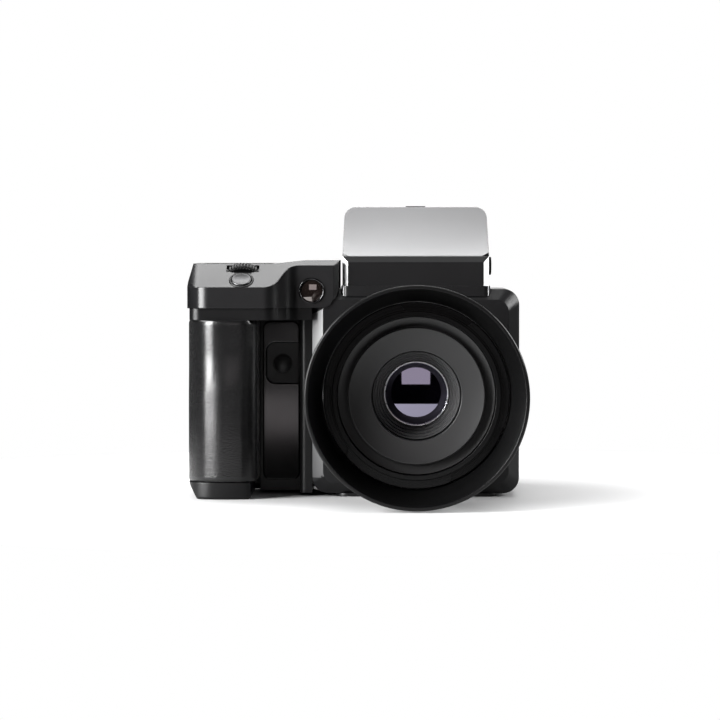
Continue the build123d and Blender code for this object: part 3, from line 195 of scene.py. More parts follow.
def paintedHighlightStrip(name, paint, tone, rough, fade, foot, coverShadowLine):
    # painted highlight: a band of bright bare metal in black paint that stands in for the light on an
    # edge;
    # 0.8 of it comes up smoothly between the two heights of the fade and 0.2 at the foot, so it is
    # darker lower down as painted shade, and it ends above at a painted shadow of the top cover: a
    # line through the shadow line's place across and height, which rises by its slope
    finish = Finish(name)
    across, upward = finish.acrossAndUp(finish.place())
    paintedLightRise = finish.node("ShaderNodeMapRange", {"interpolation_type": "SMOOTHSTEP"},
                         {0: upward, 1: fade[0], 2: fade[1], 3: 0.0, 4: 1.0})
    # painted shadow of the top cover: the band stops at a sloping line and black paint goes on above
    # it
    coverShadowAcross, coverShadowHeight, slope = coverShadowLine
    outsideCoverShadow = 1.0 - (upward - (across - coverShadowAcross) * slope).above(coverShadowHeight)
    paintedHighlight = (paintedLightRise * 0.8 + 0.2 * upward.above(foot)) * outsideCoverShadow
    grains = finish.noise(5200.0, 2.0)
    return finish.surface(
        edges["polished"], grains, 0.00002, 0.6,
        **{
            "Base Color": finish.shade(paintedHighlight * finish.span(grains, 0.8, 1.0), paint, tone),
            "Roughness": finish.span(grains, rough - 0.04, rough + 0.04),
            "Metallic": paintedHighlight * 0.9,
        },
    )


def crownedSilver(name, dark, light, rough, middle, crown, hollow):
    # satin paint on a face that sinks sideways from its middle by crown times the distance squared,
    # and rises up and down from it by hollow times the distance squared, in the relief
    finish = Finish(name)
    across, upward = finish.acrossAndUp(finish.placeFrom(middle))
    grains = finish.noise(9000.0, 2.0)
    drift = finish.noise(38.0, 4.0)
    relief = grains * reliefs["silver"] - across * across * crown + upward * upward * hollow
    return finish.surface(
        edges["paint"], relief, 1.0, 1.0,
        **{
            "Base Color": finish.mottle(drift, grains, dark, light),
            "Roughness": finish.span(drift, rough - 0.03, rough + 0.03),
            "Metallic": 0.6,
        },
    )


def turnedMetal(name, dark, light, metallic, rough, rings=2600.0, gloss=0.5, dish=0.0):
    # lathe rings: a noise read only by the distance from the lens axis; the relief is hollowed by
    # dish times that distance squared
    finish = Finish(name)
    across, upward = finish.acrossAndUp(finish.placeFrom((0.0, 0.0, lensHeight * mm)))
    reach = (across * across + upward * upward) ** 0.5
    lathe = finish.noise(rings, 2.0, finish.node("ShaderNodeCombineXYZ", None, {0: reach}))
    relief = lathe * reliefs["turned"]
    if dish:
        relief = relief + reach * reach * dish
    return finish.surface(
        edges["turned"], relief, 1.0, 1.0,
        **{
            "Base Color": finish.shade(lathe, dark, light),
            "Roughness": finish.span(lathe, rough - 0.06, rough + 0.06),
            "Metallic": metallic,
            "Specular IOR Level": gloss,
        },
    )


def grainedRubber(name, tone, rough, scale, depth, roll=0.0, rollFrom=0.0):
    # pebbled skin: rounded cells with a finer grain over them; outward of rollFrom across, the
    # relief sinks by roll times the distance squared
    finish = Finish(name)
    pebbles = finish.node("ShaderNodeTexVoronoi", {"feature": "SMOOTH_F1"},
                          {"Vector": finish.place(), "Scale": scale})
    fine = finish.noise(scale * 3.1, 2.0)
    drift = finish.noise(30.0, 3.0)
    skin = ((1.0 - pebbles) + fine * 0.35) * depth * 0.7
    if roll:
        past = (rollFrom - finish.acrossAndUp(finish.place())[0]).atLeast(0.0)
        skin = skin - past * past * roll
    dark, light = [t * 0.85 for t in tone], [t * 1.25 for t in tone]
    return finish.surface(
        edges["rubber"], skin, 1.0, 1.0,
        **{
            "Base Color": finish.shade(finish.span(drift, 0.1, 0.9), dark, light),
            "Roughness": finish.span(drift, rough - 0.05, rough + 0.05) + fine * 0.08 - 0.04,
            "Sheen Weight": 0.05,
        },
    )


def glossPlastic(name, tone, rough, coat=0.6, gloss=0.5, dish=0.0, level=0.0):
    # near-smooth plastic with faint unevenness in its gloss; the relief rises by dish times the
    # square of the depth under a level
    finish = Finish(name)
    drift = finish.noise(90.0, 3.0)
    relief = drift * reliefs["plastic"]
    if dish:
        under = (level - finish.acrossAndUp(finish.place())[1]).atLeast(0.0)
        relief = relief + under * under * dish
    return finish.surface(
        edges["plastic"], relief, 1.0, 1.0,
        **{
            "Base Color": finish.shade(drift, [t * 0.8 for t in tone], [t * 1.2 for t in tone]),
            "Roughness": finish.span(drift, rough - 0.03, rough + 0.03),
            "Specular IOR Level": gloss,
            "Coat Weight": coat,
            "Coat Roughness": 0.06,
        },
    )


def polishedMetal(name, tone, rough):
    # fine wear: one noise dulls the tone by up to a tenth and takes the gloss 0.4 of it either way
    finish = Finish(name)
    wear = finish.noise(700.0, 4.0)
    return finish.surface(
        edges["polished"], wear, reliefs["wear"], 0.3,
        **{
            "Base Color": finish.shade(wear, [t * 0.9 for t in tone], tone),
            "Roughness": finish.span(wear, rough * 0.6, rough * 1.4),
            "Metallic": 1.0,
        },
    )


def plainMetal(name, tone, rough):
    # a small turned rim: one slow drift of tone and gloss, no relief
    finish = Finish(name)
    drift = finish.noise(200.0, 2.0)
    return finish.surface(**{
        "Base Color": finish.shade(drift, [t * 0.9 for t in tone], tone),
        "Roughness": finish.span(drift, rough - 0.03, rough + 0.03),
        "Metallic": 1.0,
    })


def coatedGlass(name, tone, tint, ior):
    # dark coated glass with a faint haze: what it reflects takes the coating's tint
    finish = Finish(name)
    haze = finish.noise(60.0, 3.0)
    return finish.surface(
        0.0, haze, reliefs["glass"], 0.05,
        **{
            "Base Color": finish.shade(haze, [t * 0.7 for t in tone], [t * 1.3 for t in tone]),
            "Roughness": finish.span(haze, 0.02, 0.05),
            "IOR": ior,
            "Specular Tint": (*tint, 1),
        },
    )


finishes = {
    "housing": grainyPaint("housingPaint", (0.004, 0.004, 0.0044), (0.008, 0.008, 0.0085), 0.0, 0.32),
    "cover": grainyPaint("coverMetal", (0.005, 0.005, 0.0055), (0.009, 0.009, 0.0095), 0.0, 0.3,
                         grain=7000.0, depth=0.00001, gloss=0.5,
                         shoulder=((-0.097, 62.0), (-0.101, 60.0), 0.0993)),
    "matte": grainyPaint("mattePlastic", (0.003, 0.003, 0.0033), (0.006, 0.006, 0.0063), 0.0, 0.34,
                         grain=3400.0, gloss=0.3),
    "hollow": grainyPaint("hollowPlastic", (0.006, 0.006, 0.0062), (0.01, 0.01, 0.0102), 0.0, 0.45),
    "satin": grainyPaint("satinButton", (0.022, 0.022, 0.0225), (0.03, 0.03, 0.0305), 0.4, 0.4,
                         grain=4000.0),
    "bowl": grainyPaint("hoodBowl", (0.002, 0.002, 0.0021), (0.004, 0.004, 0.0042), 0.0, 0.34,
                        grain=3000.0, gloss=0.3),
    "silver": crownedSilver("silverPaint", (0.215, 0.215, 0.218), (0.24, 0.24, 0.243), 0.35,
                            middle=(0.0, 0.0, 0.1256), crown=1.7, hollow=4.1),
    # painted highlight on the housing's edge: bright metal that fades lower down and is cut off above
    # by a painted shadow of the top cover
    "paintedHighlightEdge": paintedHighlightStrip("housingEdgePaintedHighlight", (0.006, 0.006, 0.0065), (0.42, 0.42, 0.424), 0.55,
                       fade=(0.006, 0.085), foot=0.009, coverShadowLine=(-0.0337, 0.0942, 0.51)),
    "chamfer": polishedMetal("finderEdge", (0.8, 0.8, 0.81), 0.55),
    "lampRim": polishedMetal("lampRim", (0.07, 0.07, 0.072), 0.2),
    "button": polishedMetal("buttonMetal", (0.075, 0.075, 0.0765), 0.36),
    "mirror": polishedMetal("mirrorFace", (0.9, 0.9, 0.92), 0.04),
    "rim": plainMetal("glassRim", (0.8, 0.8, 0.82), 0.28),
    "barrel": turnedMetal("barrelMetal", (0.002, 0.002, 0.0022), (0.005, 0.005, 0.0052), 0.0, 0.28,
                          gloss=0.25),
    "disc": turnedMetal("discMetal", (0.02, 0.02, 0.0205), (0.026, 0.026, 0.0265), 0.1, 0.36,
                        rings=3600.0, dish=4.4),
    # painted light: the trap's tone is raised to make up for the shade deep in its stepped well
    "trap": turnedMetal("trapMetalPaintedLight", (0.05, 0.05, 0.051), (0.056, 0.056, 0.057), 0.1, 0.5,
                        rings=500.0),
    "steel": turnedMetal("turnedSteel", (0.42, 0.42, 0.43), (0.52, 0.52, 0.53), 1.0, 0.3),
    "rubber": grainedRubber("gripRubber", (0.004, 0.004, 0.0042), 0.27, 1500.0, 0.00007,
                            roll=9.0, rollFrom=-0.086),
    "bandRubber": grainedRubber("ringRubber", (0.014, 0.014, 0.0145), 0.55, 3600.0, 0.00003),
    "gloss": glossPlastic("glossPlastic", (0.004, 0.004, 0.0045), 0.2),
    "panel": glossPlastic("panelPlastic", (0.007, 0.007, 0.0074), 0.24, 0.0, 1.0,
                          dish=3.9, level=0.0572),
    "screen": glossPlastic("displayGlass", (0.006, 0.007, 0.009), 0.06, 1.0),
    "lensGlass": coatedGlass("lensGlass", (0.004, 0.003, 0.006), (0.82, 0.78, 1.0), 2.8),
    "lampGlass": coatedGlass("lampGlass", (0.014, 0.01, 0.009), (1.0, 0.93, 0.9), 2.4),
    "plainGlass": coatedGlass("plainGlass", (0.02, 0.025, 0.03), (0.7, 1.0, 0.85), 1.7),
}
print("finishes made:", len(finishes))


# surfaces worked out as whole arrays, in mm

def weld(mesh, turnOut=False):
    # near points become one; the faces of a new shell are turned to point outwards
    shell = bmesh.new()
    shell.from_mesh(mesh)
    bmesh.ops.remove_doubles(shell, verts=shell.verts, dist=weldGap)
    if turnOut:
        bmesh.ops.recalc_face_normals(shell, faces=shell.faces)
    shell.to_mesh(mesh)
    shell.free()


def gridMesh(name, points, closedRows=False, closedColumns=True):
    # quads between the neighbours of a rows x columns array of points
    rows, columns = points.shape[:2]
    lower = np.arange(rows if closedRows else rows - 1)[:, None]
    left = np.arange(columns if closedColumns else columns - 1)[None, :]
    upper = (lower + 1) % rows
    right = (left + 1) % columns
    quads = np.stack([
        lower * columns + left, lower * columns + right,
        upper * columns + right, upper * columns + left,
    ], -1).reshape(-1, 4)
    mesh = bpy.data.meshes.new(name)
    mesh.from_pydata((points.reshape(-1, 3) * mm).tolist(), [], quads.tolist())
    weld(mesh, True)
    return mesh


def softOutline(corners, steps=6, mostShare=0.48, guardGap=0.07, guardShare=0.4):
    # closed outline of (a, b, softness) corners: each corner becomes a quadratic curve that starts
    # and ends one softness away from it, or mostShare of the shorter side; a point guardGap outside
    # each end of the curve, or guardShare of the way to the middle of the side, keeps the straight
    # sides flat in the shading
    given = np.array(corners, float)
    places = given[:, :2]
    back = np.roll(places, 1, 0) - places
    ahead = np.roll(places, -1, 0) - places
    backLength = np.linalg.norm(back, axis=1, keepdims=True)
    aheadLength = np.linalg.norm(ahead, axis=1, keepdims=True)
    setback = np.minimum(given[:, 2:3], mostShare * np.minimum(backLength, aheadLength))
    start = places + back / backLength * setback
    end = places + ahead / aheadLength * setback
    t = np.linspace(0, 1, steps)[:, None, None]
    curve = (1 - t) ** 2 * start + 2 * t * (1 - t) * places + t ** 2 * end
    backGuard = np.minimum(guardGap, guardShare * (0.5 * backLength - setback))
    aheadGuard = np.minimum(guardGap, guardShare * (0.5 * aheadLength - setback))
    before = start + back / backLength * backGuard
    after = end + ahead / aheadLength * aheadGuard
    return np.concatenate([before[None], curve, after[None]]).transpose(1, 0, 2).reshape(-1, 2)


def turnedPoints(profile, segments, centre=(0, 0, lensHeight), along=(0, 1, 0), first=(1, 0, 0),
                 reshape=None):
    # each (radius, distance) of the profile swept round the axis: centre + radius * (cos, sin) in
    # the plane across the axis + distance along it; reshape changes the radius by distance and angle
    along = np.array(along, float)
    first = np.array(first, float)
    second = np.cross(along, first)
    angle = np.linspace(0, 2 * math.pi, segments, endpoint=False)
    radius = np.repeat(profile[:, :1], segments, 1)
    distance = np.repeat(profile[:, 1:2], segments, 1)
    if reshape:
        radius = reshape(radius, distance, angle[None, :])
    ring = np.cos(angle)[:, None] * first + np.sin(angle)[:, None] * second
    return np.array(centre, float) + radius[..., None] * ring[None] + distance[..., None] * along


def roundRectangle(halfWidth, halfHeight, radius, steps=8):
    # four quarter arcs about the inner corners
    quarter = np.linspace(0, math.pi / 2, steps)
    turn = np.concatenate([quarter + n * math.pi / 2 for n in range(4)])
    signs = np.repeat([[1, 1], [-1, 1], [-1, -1], [1, -1]], steps, 0)
    inner = np.array([max(halfWidth - radius, 0), max(halfHeight - radius, 0)])
    return signs * inner + radius * np.column_stack([np.cos(turn), np.sin(turn)])


def slabPoints(halfWidth, halfHeight, radius, rows, centre, across, upward):
    # a rounded outline for each row of (inset, height, scale): drawn in by the inset, scaled about
    # its middle and raised by the height
    across = np.array(across, float)
    upward = np.array(upward, float)
    out = np.cross(across, upward)
    rings = []
    for inset, height, scale in rows:
        tight = max(radius - inset, 0.05)
        ring = roundRectangle(halfWidth - inset, halfHeight - inset, tight) * scale
        rings.append(ring[:, :1] * across + ring[:, 1:] * upward + height * out)
    return np.array(rings) + np.array(centre, float)


def cushionRows(thickness, edge, crown, closed=0.001):
    # section of a plate: a flat floor, an upright side, a quarter turn of radius edge, and a face
    # that rises by crown * (1 - share of the way out squared)
    shoulder = thickness - edge - crown
    rows = [(0.0, 0.0, closed), (0.0, 0.0, 1.0), (0.0, shoulder, 1.0)]
    for a in np.linspace(0, math.pi / 2, 6)[1:]:
        rows.append((edge * (1 - math.cos(a)), shoulder + edge * math.sin(a), 1.0))
    rows += [(edge, thickness - crown * s ** 2, s) for s in np.linspace(1, closed, 7)[1:]]
    return rows


def smoothMesh(mesh, limit=32.0):
    # smooth shading, with edges that turn by more degrees than the limit kept crisp
    shell = bmesh.new()
    shell.from_mesh(mesh)
    for face in shell.faces:
        face.smooth = True
    for edge in shell.edges:
        edge.smooth = edge.calc_face_angle(math.pi) < math.radians(limit)
    shell.to_mesh(mesh)
    shell.free()


def addPiece(name, mesh, finish, body, replaced=()):
    # a mesh in its finish, on a body and in a material slot
    smoothMesh(mesh)
    piece = bpy.data.objects.new(name, mesh)
    bpy.context.scene.collection.objects.link(piece)
    mesh.materials.clear()
    mesh.materials.append(finishes[finish])
    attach(piece, body)
    if replaced:
        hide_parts(*replaced)
    return piece


def standIn(node, mesh, finish, name=None):
    # a finer piece in the place of one node
    return addPiece(name or node + "Shell", mesh, finish, bodyOfNode[node], (node,))


def finishedCopy(node, finish):
    # the node's own surface with its points merged, so that its curves shade smoothly
    mesh = frame["nodes"][node].data.copy()
    mesh.name = node + "Skin"
    weld(mesh)
    return standIn(node, mesh, finish, node + "Skin")


def turnedPiece(node, corners, finish, segments=160, **places):
    # a closed outline of soft corners, swept round its axis
    points = turnedPoints(softOutline(corners), segments, **places)
    return standIn(node, gridMesh(node + "Turned", points, closedRows=True), finish)


def lensSurface(name, radius, front, crown, rear, **places):
    # a spherical cap in front, a straight edge and a flat rear, closed at both poles
    ballRadius = (radius ** 2 + crown ** 2) / (2 * crown)
    reach = np.linspace(0, 1, 22) * radius
    cap = front - crown + ballRadius - np.sqrt(ballRadius ** 2 - reach ** 2)
    profile = np.vstack([np.column_stack([reach, cap]), [(radius, rear), (0, rear)]])
    return gridMesh(name, turnedPoints(profile, 128, **places))


# lens, from the hood back: corners are (radius, place along the axis, softness)

thread = dict(radius=36.0, start=-105.4, turns=6, pitch=0.72, depth=0.35)
lugs = dict(ring=38.8, rear=-101.5, front=-104.3, turns=(14, 134, 254), span=74.0)
trap = dict(mouth=-98.0, radius=20.0, lip=0.8, steps=4, flankShare=0.2, clearance=0.6)
glass = dict(radius=14.7, front=-79.4, crown=1.6, rear=-73.4)
band = dict(inner=40.2, outer=41.2, middle=-68.0, halfWidth=12.0, fade=1.2, flutes=96, depth=0.7)


def threadCorners():
    # saw teeth cut outward into the filter rim's wall: every second corner lies a depth further out
    step = np.arange(2 * thread["turns"])
    radius = thread["radius"] + thread["depth"] * (step % 2)
    place = thread["start"] + thread["pitch"] / 2 * step
    return [(r, y, 0.06) for r, y in zip(radius[::-1], place[::-1])]


def lugShape(radius, distance, angle):
    # the lugs' rows fall back to the plain ring between the lugs, with a ramp of 2 degrees
    share = np.zeros_like(angle)
    for turn in lugs["turns"]:
        off = np.abs((np.degrees(angle) - 90 - turn + 180) % 360 - 180)
        share = np.maximum(share, np.clip((lugs["span"] / 2 + 1 - off) / 2, 0, 1))
    isLug = (distance < lugs["rear"]) & (distance > lugs["front"]) & (radius > lugs["ring"] + 0.02)
    return np.where(isLug, lugs["ring"] + (radius - lugs["ring"]) * share, radius)


def trapCorners():
    # the stepped well in front of the glass: each step narrows and deepens by the same amount, and
    # its flank takes a small share of the narrowing
    start, radius = trap["mouth"], trap["radius"] - trap["lip"]
    depth = (glass["front"] - start - trap["clearance"]) / trap["steps"]
    narrowing = (radius - glass["radius"]) / trap["steps"]
    corners = [(trap["radius"], start, 0.3), (radius, start, 0.25)]
    for n in range(trap["steps"]):
        place = start + (n + 1) * depth
        corners.append((radius - (n + trap["flankShare"]) * narrowing, place, 0.15))
        if n < trap["steps"] - 1:
            corners.append((radius - (n + 1) * narrowing, place, 0.2))
    return corners


turnedPiece("lens_hood", [
    (42.7, -90.0, 0.3), (45.2, -90.0, 0.4), (45.2, -102.8, 3.0), (50.35, -129.4, 0.15),
    (49.75, -130.0, 0.15), (48.65, -130.0, 0.2), (42.7, -104.5, 3.0),
], "bowl", 224)
turnedPiece("front_barrel", [
    (36.0, -106.0, 0.15), (38.2, -106.0, 0.35), (38.2, -104.0, 0.1), (42.0, -104.0, 0.3),
    (42.0, -102.0, 0.3), (38.8, -102.0, 0.1), (38.8, -100.0, 0.1), (42.3, -100.0, 0.5),
    (42.3, -84.0, 0.4), (33.25, -84.0, 0.1), (33.25, -99.5, 0.1), (36.0, -99.5, 0.1),
] + threadCorners(), "barrel", 240, reshape=lugShape)
turnedPiece("front_disc", [
    (20.3, -105.2, 0.25), (30.7, -105.2, 0.3), (31.1, -104.8, 0.3), (31.1, -101.5, 0.3),
    (35.7, -101.5, 0.2), (35.7, -99.5, 0.1), (20.3, -99.5, 0.1),
], "disc", 192)
turnedPiece("optical_cell", trapCorners() + [
    (14.7, -80.0, 0.1), (14.7, -73.4, 0.1), (13.0, -73.4, 0.1), (13.0, -49.0, 0.1),
    (16.0, -49.0, 0.1), (16.0, -44.0, 0.1), (25.8, -44.0, 0.2), (25.8, -92.5, 0.2),
    (20.0, -92.5, 0.1),
], "trap")

frontGlass = lensSurface("frontGlass", **glass)
standIn("front_glass", frontGlass, "lensGlass")
standIn("rear_glass", lensSurface("rearGlass", 16.0, -48.99, 0.01, -44.0), "lensGlass")
ringCorners = [(14.1, -79.9, 0.1), (14.3, -80.5, 0.15), (14.85, -80.5, 0.15), (14.85, -79.9, 0.1)]
glassRing = gridMesh("glassRing", turnedPoints(softOutline(ringCorners), 160), closedRows=True)
addPiece("glassRing", glassRing, "rim", "optical_cell")

turnedPiece("lens_barrel", [
    (26.1, -40.0, 0.1), (38.0, -40.0, 0.4), (38.0, -52.0, 0.5), (33.2, -52.0, 0.1),
    (33.2, -99.5, 0.1), (26.1, -99.5, 0.1),
], "barrel")
turnedPiece("focus_ring", [
    (33.5, -83.7, 0.1), (40.2, -83.7, 0.5), (40.2, -52.3, 0.5), (33.5, -52.3, 0.1),
], "barrel")


def flutes(radius, distance, angle):
    # shallow scallops round the outer rows, as the square of a raised cosine, faded at both ends
    wave = 0.5 + 0.5 * np.cos(band["flutes"] * angle)
    fromEnd = band["halfWidth"] - np.abs(distance - band["middle"])
    cut = band["depth"] * wave ** 2 * np.clip(fromEnd / band["fade"], 0, 1)
    return np.where(radius > (band["inner"] + band["outer"]) / 2 - 0.1, radius - cut, radius)


bandOutline = np.vstack([
    [(band["inner"], -79.7), (40.9, -79.7), (41.1, -79.5)],
    np.column_stack([np.full(20, band["outer"]), np.linspace(-79.2, -56.8, 20)]),
    [(41.1, -56.5), (40.9, -56.3), (band["inner"], -56.3)],
])
bandPoints = turnedPoints(bandOutline, 768, reshape=flutes)
standIn("focus_grip", gridMesh("gripBand", bandPoints, closedRows=True), "bandRubber")
turnedPiece("lens_bayonet", [
    (24.0, -40.0, 0.1), (37.0, -40.0, 0.2), (37.0, -38.0, 0.2), (29.95, -38.0, 0.1),
    (29.95, -34.6, 0.1), (24.0, -34.6, 0.1),
], "steel")
print("lens built")


# controls: buttons, dials, lamp and eyepiece

slope = dict(angle=36.0, foot=(-81.9, -49.0, 99.3))
tilt = math.radians(slope["angle"])
slopeUp = np.array([0, math.cos(tilt), math.sin(tilt)])
slopeOut = np.array([0, -math.sin(tilt), math.cos(tilt)])


def onSlope(x, up, out=0.0):
    # a point of the cover's slope: its foot + up along it + out of it
    return np.array([x, slope["foot"][1], slope["foot"][2]]) + up * slopeUp + out * slopeOut


buttonSeat = dict(centre=onSlope(slope["foot"][0], 5.6), along=slopeOut)
turnedPiece("shutter_collar", [
    (4.8, 0.2, 0.2), (5.1, 0.45, 0.3), (5.55, 0.4, 0.25), (5.75, 0.0, 0.1),
    (5.75, -3.0, 0.1), (4.8, -3.0, 0.1),
], "hollow", 96, **buttonSeat)

outward = np.linspace(0, 1, 12)
releaseProfile = np.vstack([
    np.column_stack([4.0 * outward, 0.55 + 0.33 * outward ** 2]),
    [(4.3, 0.88), (4.5, 0.78), (4.66, 0.55), (4.7, 0.3), (4.7, -2.7), (0.0, -2.7)],
])
releaseButton = gridMesh("releaseButton", turnedPoints(releaseProfile, 96, **buttonSeat))
standIn("shutter_button", releaseButton, "button")


def knurledWheel(node, radius, thickness, ribs, depth, edge, **places):
    # ribs with flat tops: the radius drops by depth times the cube of a raised cosine between
    # them, and eases off at both rims
    plain = radius - edge - depth
    rows = np.array([
        (0.0, 0.0), (radius * 0.5, 0.0), (plain, 0.0), (radius - edge, 0.0),
        (radius - edge * 0.3, edge * 0.3), (radius, edge), (radius, thickness * 0.5),
        (radius, thickness - edge), (radius - edge * 0.3, thickness - edge * 0.3),
        (radius - edge, thickness), (plain, thickness), (radius * 0.5, thickness), (0.0, thickness),
    ])

    def valleys(reach, distance, angle):
        wave = (0.5 + 0.5 * np.cos(ribs * angle)) ** 3
        return np.where(reach > radius - edge - 0.01, reach - depth * wave, reach)

    points = turnedPoints(rows, ribs * 10, reshape=valleys, **places)
    return standIn(node, gridMesh(node + "Wheel", points), "barrel")


wheels = {
    "front_dial": dict(radius=11.0, thickness=4.4, ribs=44, depth=0.55, edge=0.5,
                       centre=onSlope(-81.5, 12.6, -8.9), along=slopeUp),
    "rear_dial": dict(radius=9.0, thickness=4.6, ribs=40, depth=0.5, edge=0.5,
                      centre=(-92.0, 14.6, 98.7), along=(0, 0, 1)),
    "diopter_knob": dict(radius=4.6, thickness=2.0, ribs=28, depth=0.35, edge=0.3,
                         centre=(34.8, 54.0, 106.5), along=(1, 0, 0), first=(0, 1, 0)),
}
for node, facts in wheels.items():
    knurledWheel(node, **facts)


def pressButton(node, radius, front, length, crown, finish, **places):
    # a stem with a soft shoulder and a face that is domed by crown * (1 - share out squared)
    reach = np.linspace(0, 1, 14)
    profile = np.vstack([
        np.column_stack([reach * (radius - 0.3), front + crown * (1 - reach ** 2) - crown]),
        [(radius - 0.12, front - crown - 0.06), (radius, front - crown - 0.3),
         (radius, front - length), (0.0, front - length)],
    ])
    return standIn(node, gridMesh(node + "Cap", turnedPoints(profile, 72, **places)), finish)


buttons = {
    "recess_button": dict(radius=4.2, front=1.3, length=6.8, crown=1.2, finish="satin",
                          centre=(-63.5, -13.4, 62.4), along=(0, -1, 0)),
    "rear_button": dict(radius=3.4, front=0.8, length=4.0, crown=0.3, finish="gloss",
                        centre=(-72.0, 22.0, 101.0), along=(0, 1, 0)),
    "lens_release_button": dict(radius=2.4, front=1.5, length=7.5, crown=0.3, finish="button",
                                centre=(41.2, -34.0, 51.0), along=(0, -1, 0)),
}
for node, facts in buttons.items():
    pressButton(node, **facts)

lampPlace = (-49.2, -35.0, 97.5)
turnedPiece("lamp_ring", [
    (5.0, -0.5, 0.2), (5.3, 0.8, 0.4), (5.9, 0.9, 0.3), (6.1, 0.4, 0.3), (6.1, -3.0, 0.1),
    (5.0, -3.0, 0.1),
], "lampRim", 96, centre=lampPlace, along=(0, -1, 0))
lampGlass = lensSurface("lampGlass", 5.0, 0.0, 0.7, 3.0, centre=lampPlace)
standIn("lamp_glass", lampGlass, "lampGlass")

turnedPiece("eyecup", [
    (10.4, 67.8, 0.1), (12.4, 67.8, 0.1), (12.4, 70.0, 0.1), (15.8, 70.0, 0.8), (18.0, 77.5, 0.9),
    (15.8, 77.5, 0.9), (10.4, 72.2, 0.8),
], "bandRubber", 128, centre=(0, 0, 112.5))
eyeGlass = lensSurface("eyeGlass", 10.4, -0.001, 0.3, 5.0, centre=(0, 70.0, 112.5), along=(0, -1, 0))
standIn("eyepiece_lens", eyeGlass, "plainGlass")
print("controls built")


# plates, doors and keys: half sizes, corner radius, thickness, rounding, and the way they face

toBack = dict(across=(-1, 0, 0), upward=(0, 0, 1))
toRight = dict(across=(0, 1, 0), upward=(0, 0, 1))
toLeft = dict(across=(0, -1, 0), upward=(0, 0, 1))
toTop = dict(across=(1, 0, 0), upward=(0, 1, 0))
plates = {
    "top_display": dict(sizes=(16.25, 18.0, 2.0), thickness=1.4, edge=0.12, finish="screen",
                        centre=(-84.75, -6.0, 109.0), **toTop),
    "back_display": dict(sizes=(33.0, 25.0, 2.0), thickness=1.4, edge=0.15, finish="screen",
                         centre=(0, 66.6, 50.0), **toBack),
    "port_cover": dict(sizes=(14.0, 20.0, 2.0), thickness=1.6, edge=0.4, finish="rubber",
                       centre=(47.4, -2.0, 48.0), **toRight),
    "card_door": dict(sizes=(13.0, 24.0, 2.0), thickness=1.6, edge=0.4, finish="matte",
                      centre=(46.9, 49.0, 48.0), **toRight),
    "finder_lever": dict(sizes=(4.5, 4.3, 2.0), thickness=1.3, edge=0.4, finish="barrel",
                         centre=(34.8, -17.5, 109.3), crown=0.2, **toRight),
    "back_latch": dict(sizes=(3.5, 6.5, 2.0), thickness=1.8, edge=0.5, finish="barrel",
                       centre=(-48.6, 32.0, 78.0), crown=0.2, **toLeft),
}
keyPlaces = [(-40.6, 66.0), (-40.6, 34.0), (40.6, 66.0), (40.6, 34.0)]
for number, (x, z) in enumerate(keyPlaces, 1):
    plates[f"back_key_{number}"] = dict(sizes=(3.5, 7.5, 2.5), thickness=3.6, edge=0.5,
                                        finish="gloss", centre=(x, 65.2, z), crown=0.25, **toBack)


def plate(node, sizes, thickness, edge, finish, centre, across, upward, crown=0.0):
    # a slab of cushion rows on a rounded outline
    points = slabPoints(*sizes, cushionRows(thickness, edge, crown), centre, across, upward)
    return standIn(node, gridMesh(node + "Plate", points), finish)


for node, facts in plates.items():
    plate(node, **facts)


# hand grip: a skin that wraps the outer side, the front and the inner side; the tables go by the
# share of its height

grip = dict(
    left=-107.0, right=-74.5, front=-49.0, bulge=3.2, sideEnd=10.0, innerEnd=-14.2, bottom=8.2,
    top=83.9, thickness=1.75, edge=0.5, innerCorner=8.0,
    swell=((0.0, 0.95), (0.3, 1.0), (0.55, 0.95), (0.8, 0.5), (1.0, 0.5)),
    lean=((0.0, 2.2), (0.4, 2.0), (0.56, 1.7), (0.72, 0.2), (1.0, 0.0)),
    outerCorner=((0.0, 9.5), (0.5, 9.5), (0.74, 12.5), (1.0, 12.5)),
)


def easedTable(table, share):
    # values between the pairs of a table, with a level start and end at each pair
    places = np.array([pair[0] for pair in table])
    values = np.array([pair[1] for pair in table])
    number = np.clip(np.searchsorted(places, share, "right") - 1, 0, len(places) - 2)
    t = (share - places[number]) / (places[number + 1] - places[number])
    return values[number] + (values[number + 1] - values[number]) * t * t * (3 - 2 * t)


def gripPlan(share, t):
    # the plan at each height: a straight side, a quarter turn whose radius changes with the height,
    # the front, a tighter quarter turn and the inner side
    left, right, front = grip["left"], grip["right"], grip["front"]
    sideEnd, innerEnd, small = grip["sideEnd"], grip["innerEnd"], grip["innerCorner"]
    big = easedTable(grip["outerCorner"], share)
    turn = t * math.pi / 2
    level = 0 * share * t
    stretches = [
        (left + level, sideEnd + (front + big - sideEnd) * t),
        (left + big * (1 - np.cos(turn)), front + big * (1 - np.sin(turn))),
        (left + big + (right - small - left - big) * t, front + level),
        (right - small + small * np.sin(turn) + level, front + small * (1 - np.cos(turn)) + level),
        (right + level, front + small + (innerEnd - front - small) * t + level),
    ]
    x = np.concatenate([stretches[0][0]] + [part[0][:, 1:] for part in stretches[1:]], 1)
    y = np.concatenate([stretches[0][1]] + [part[1][:, 1:] for part in stretches[1:]], 1)
    return x, y


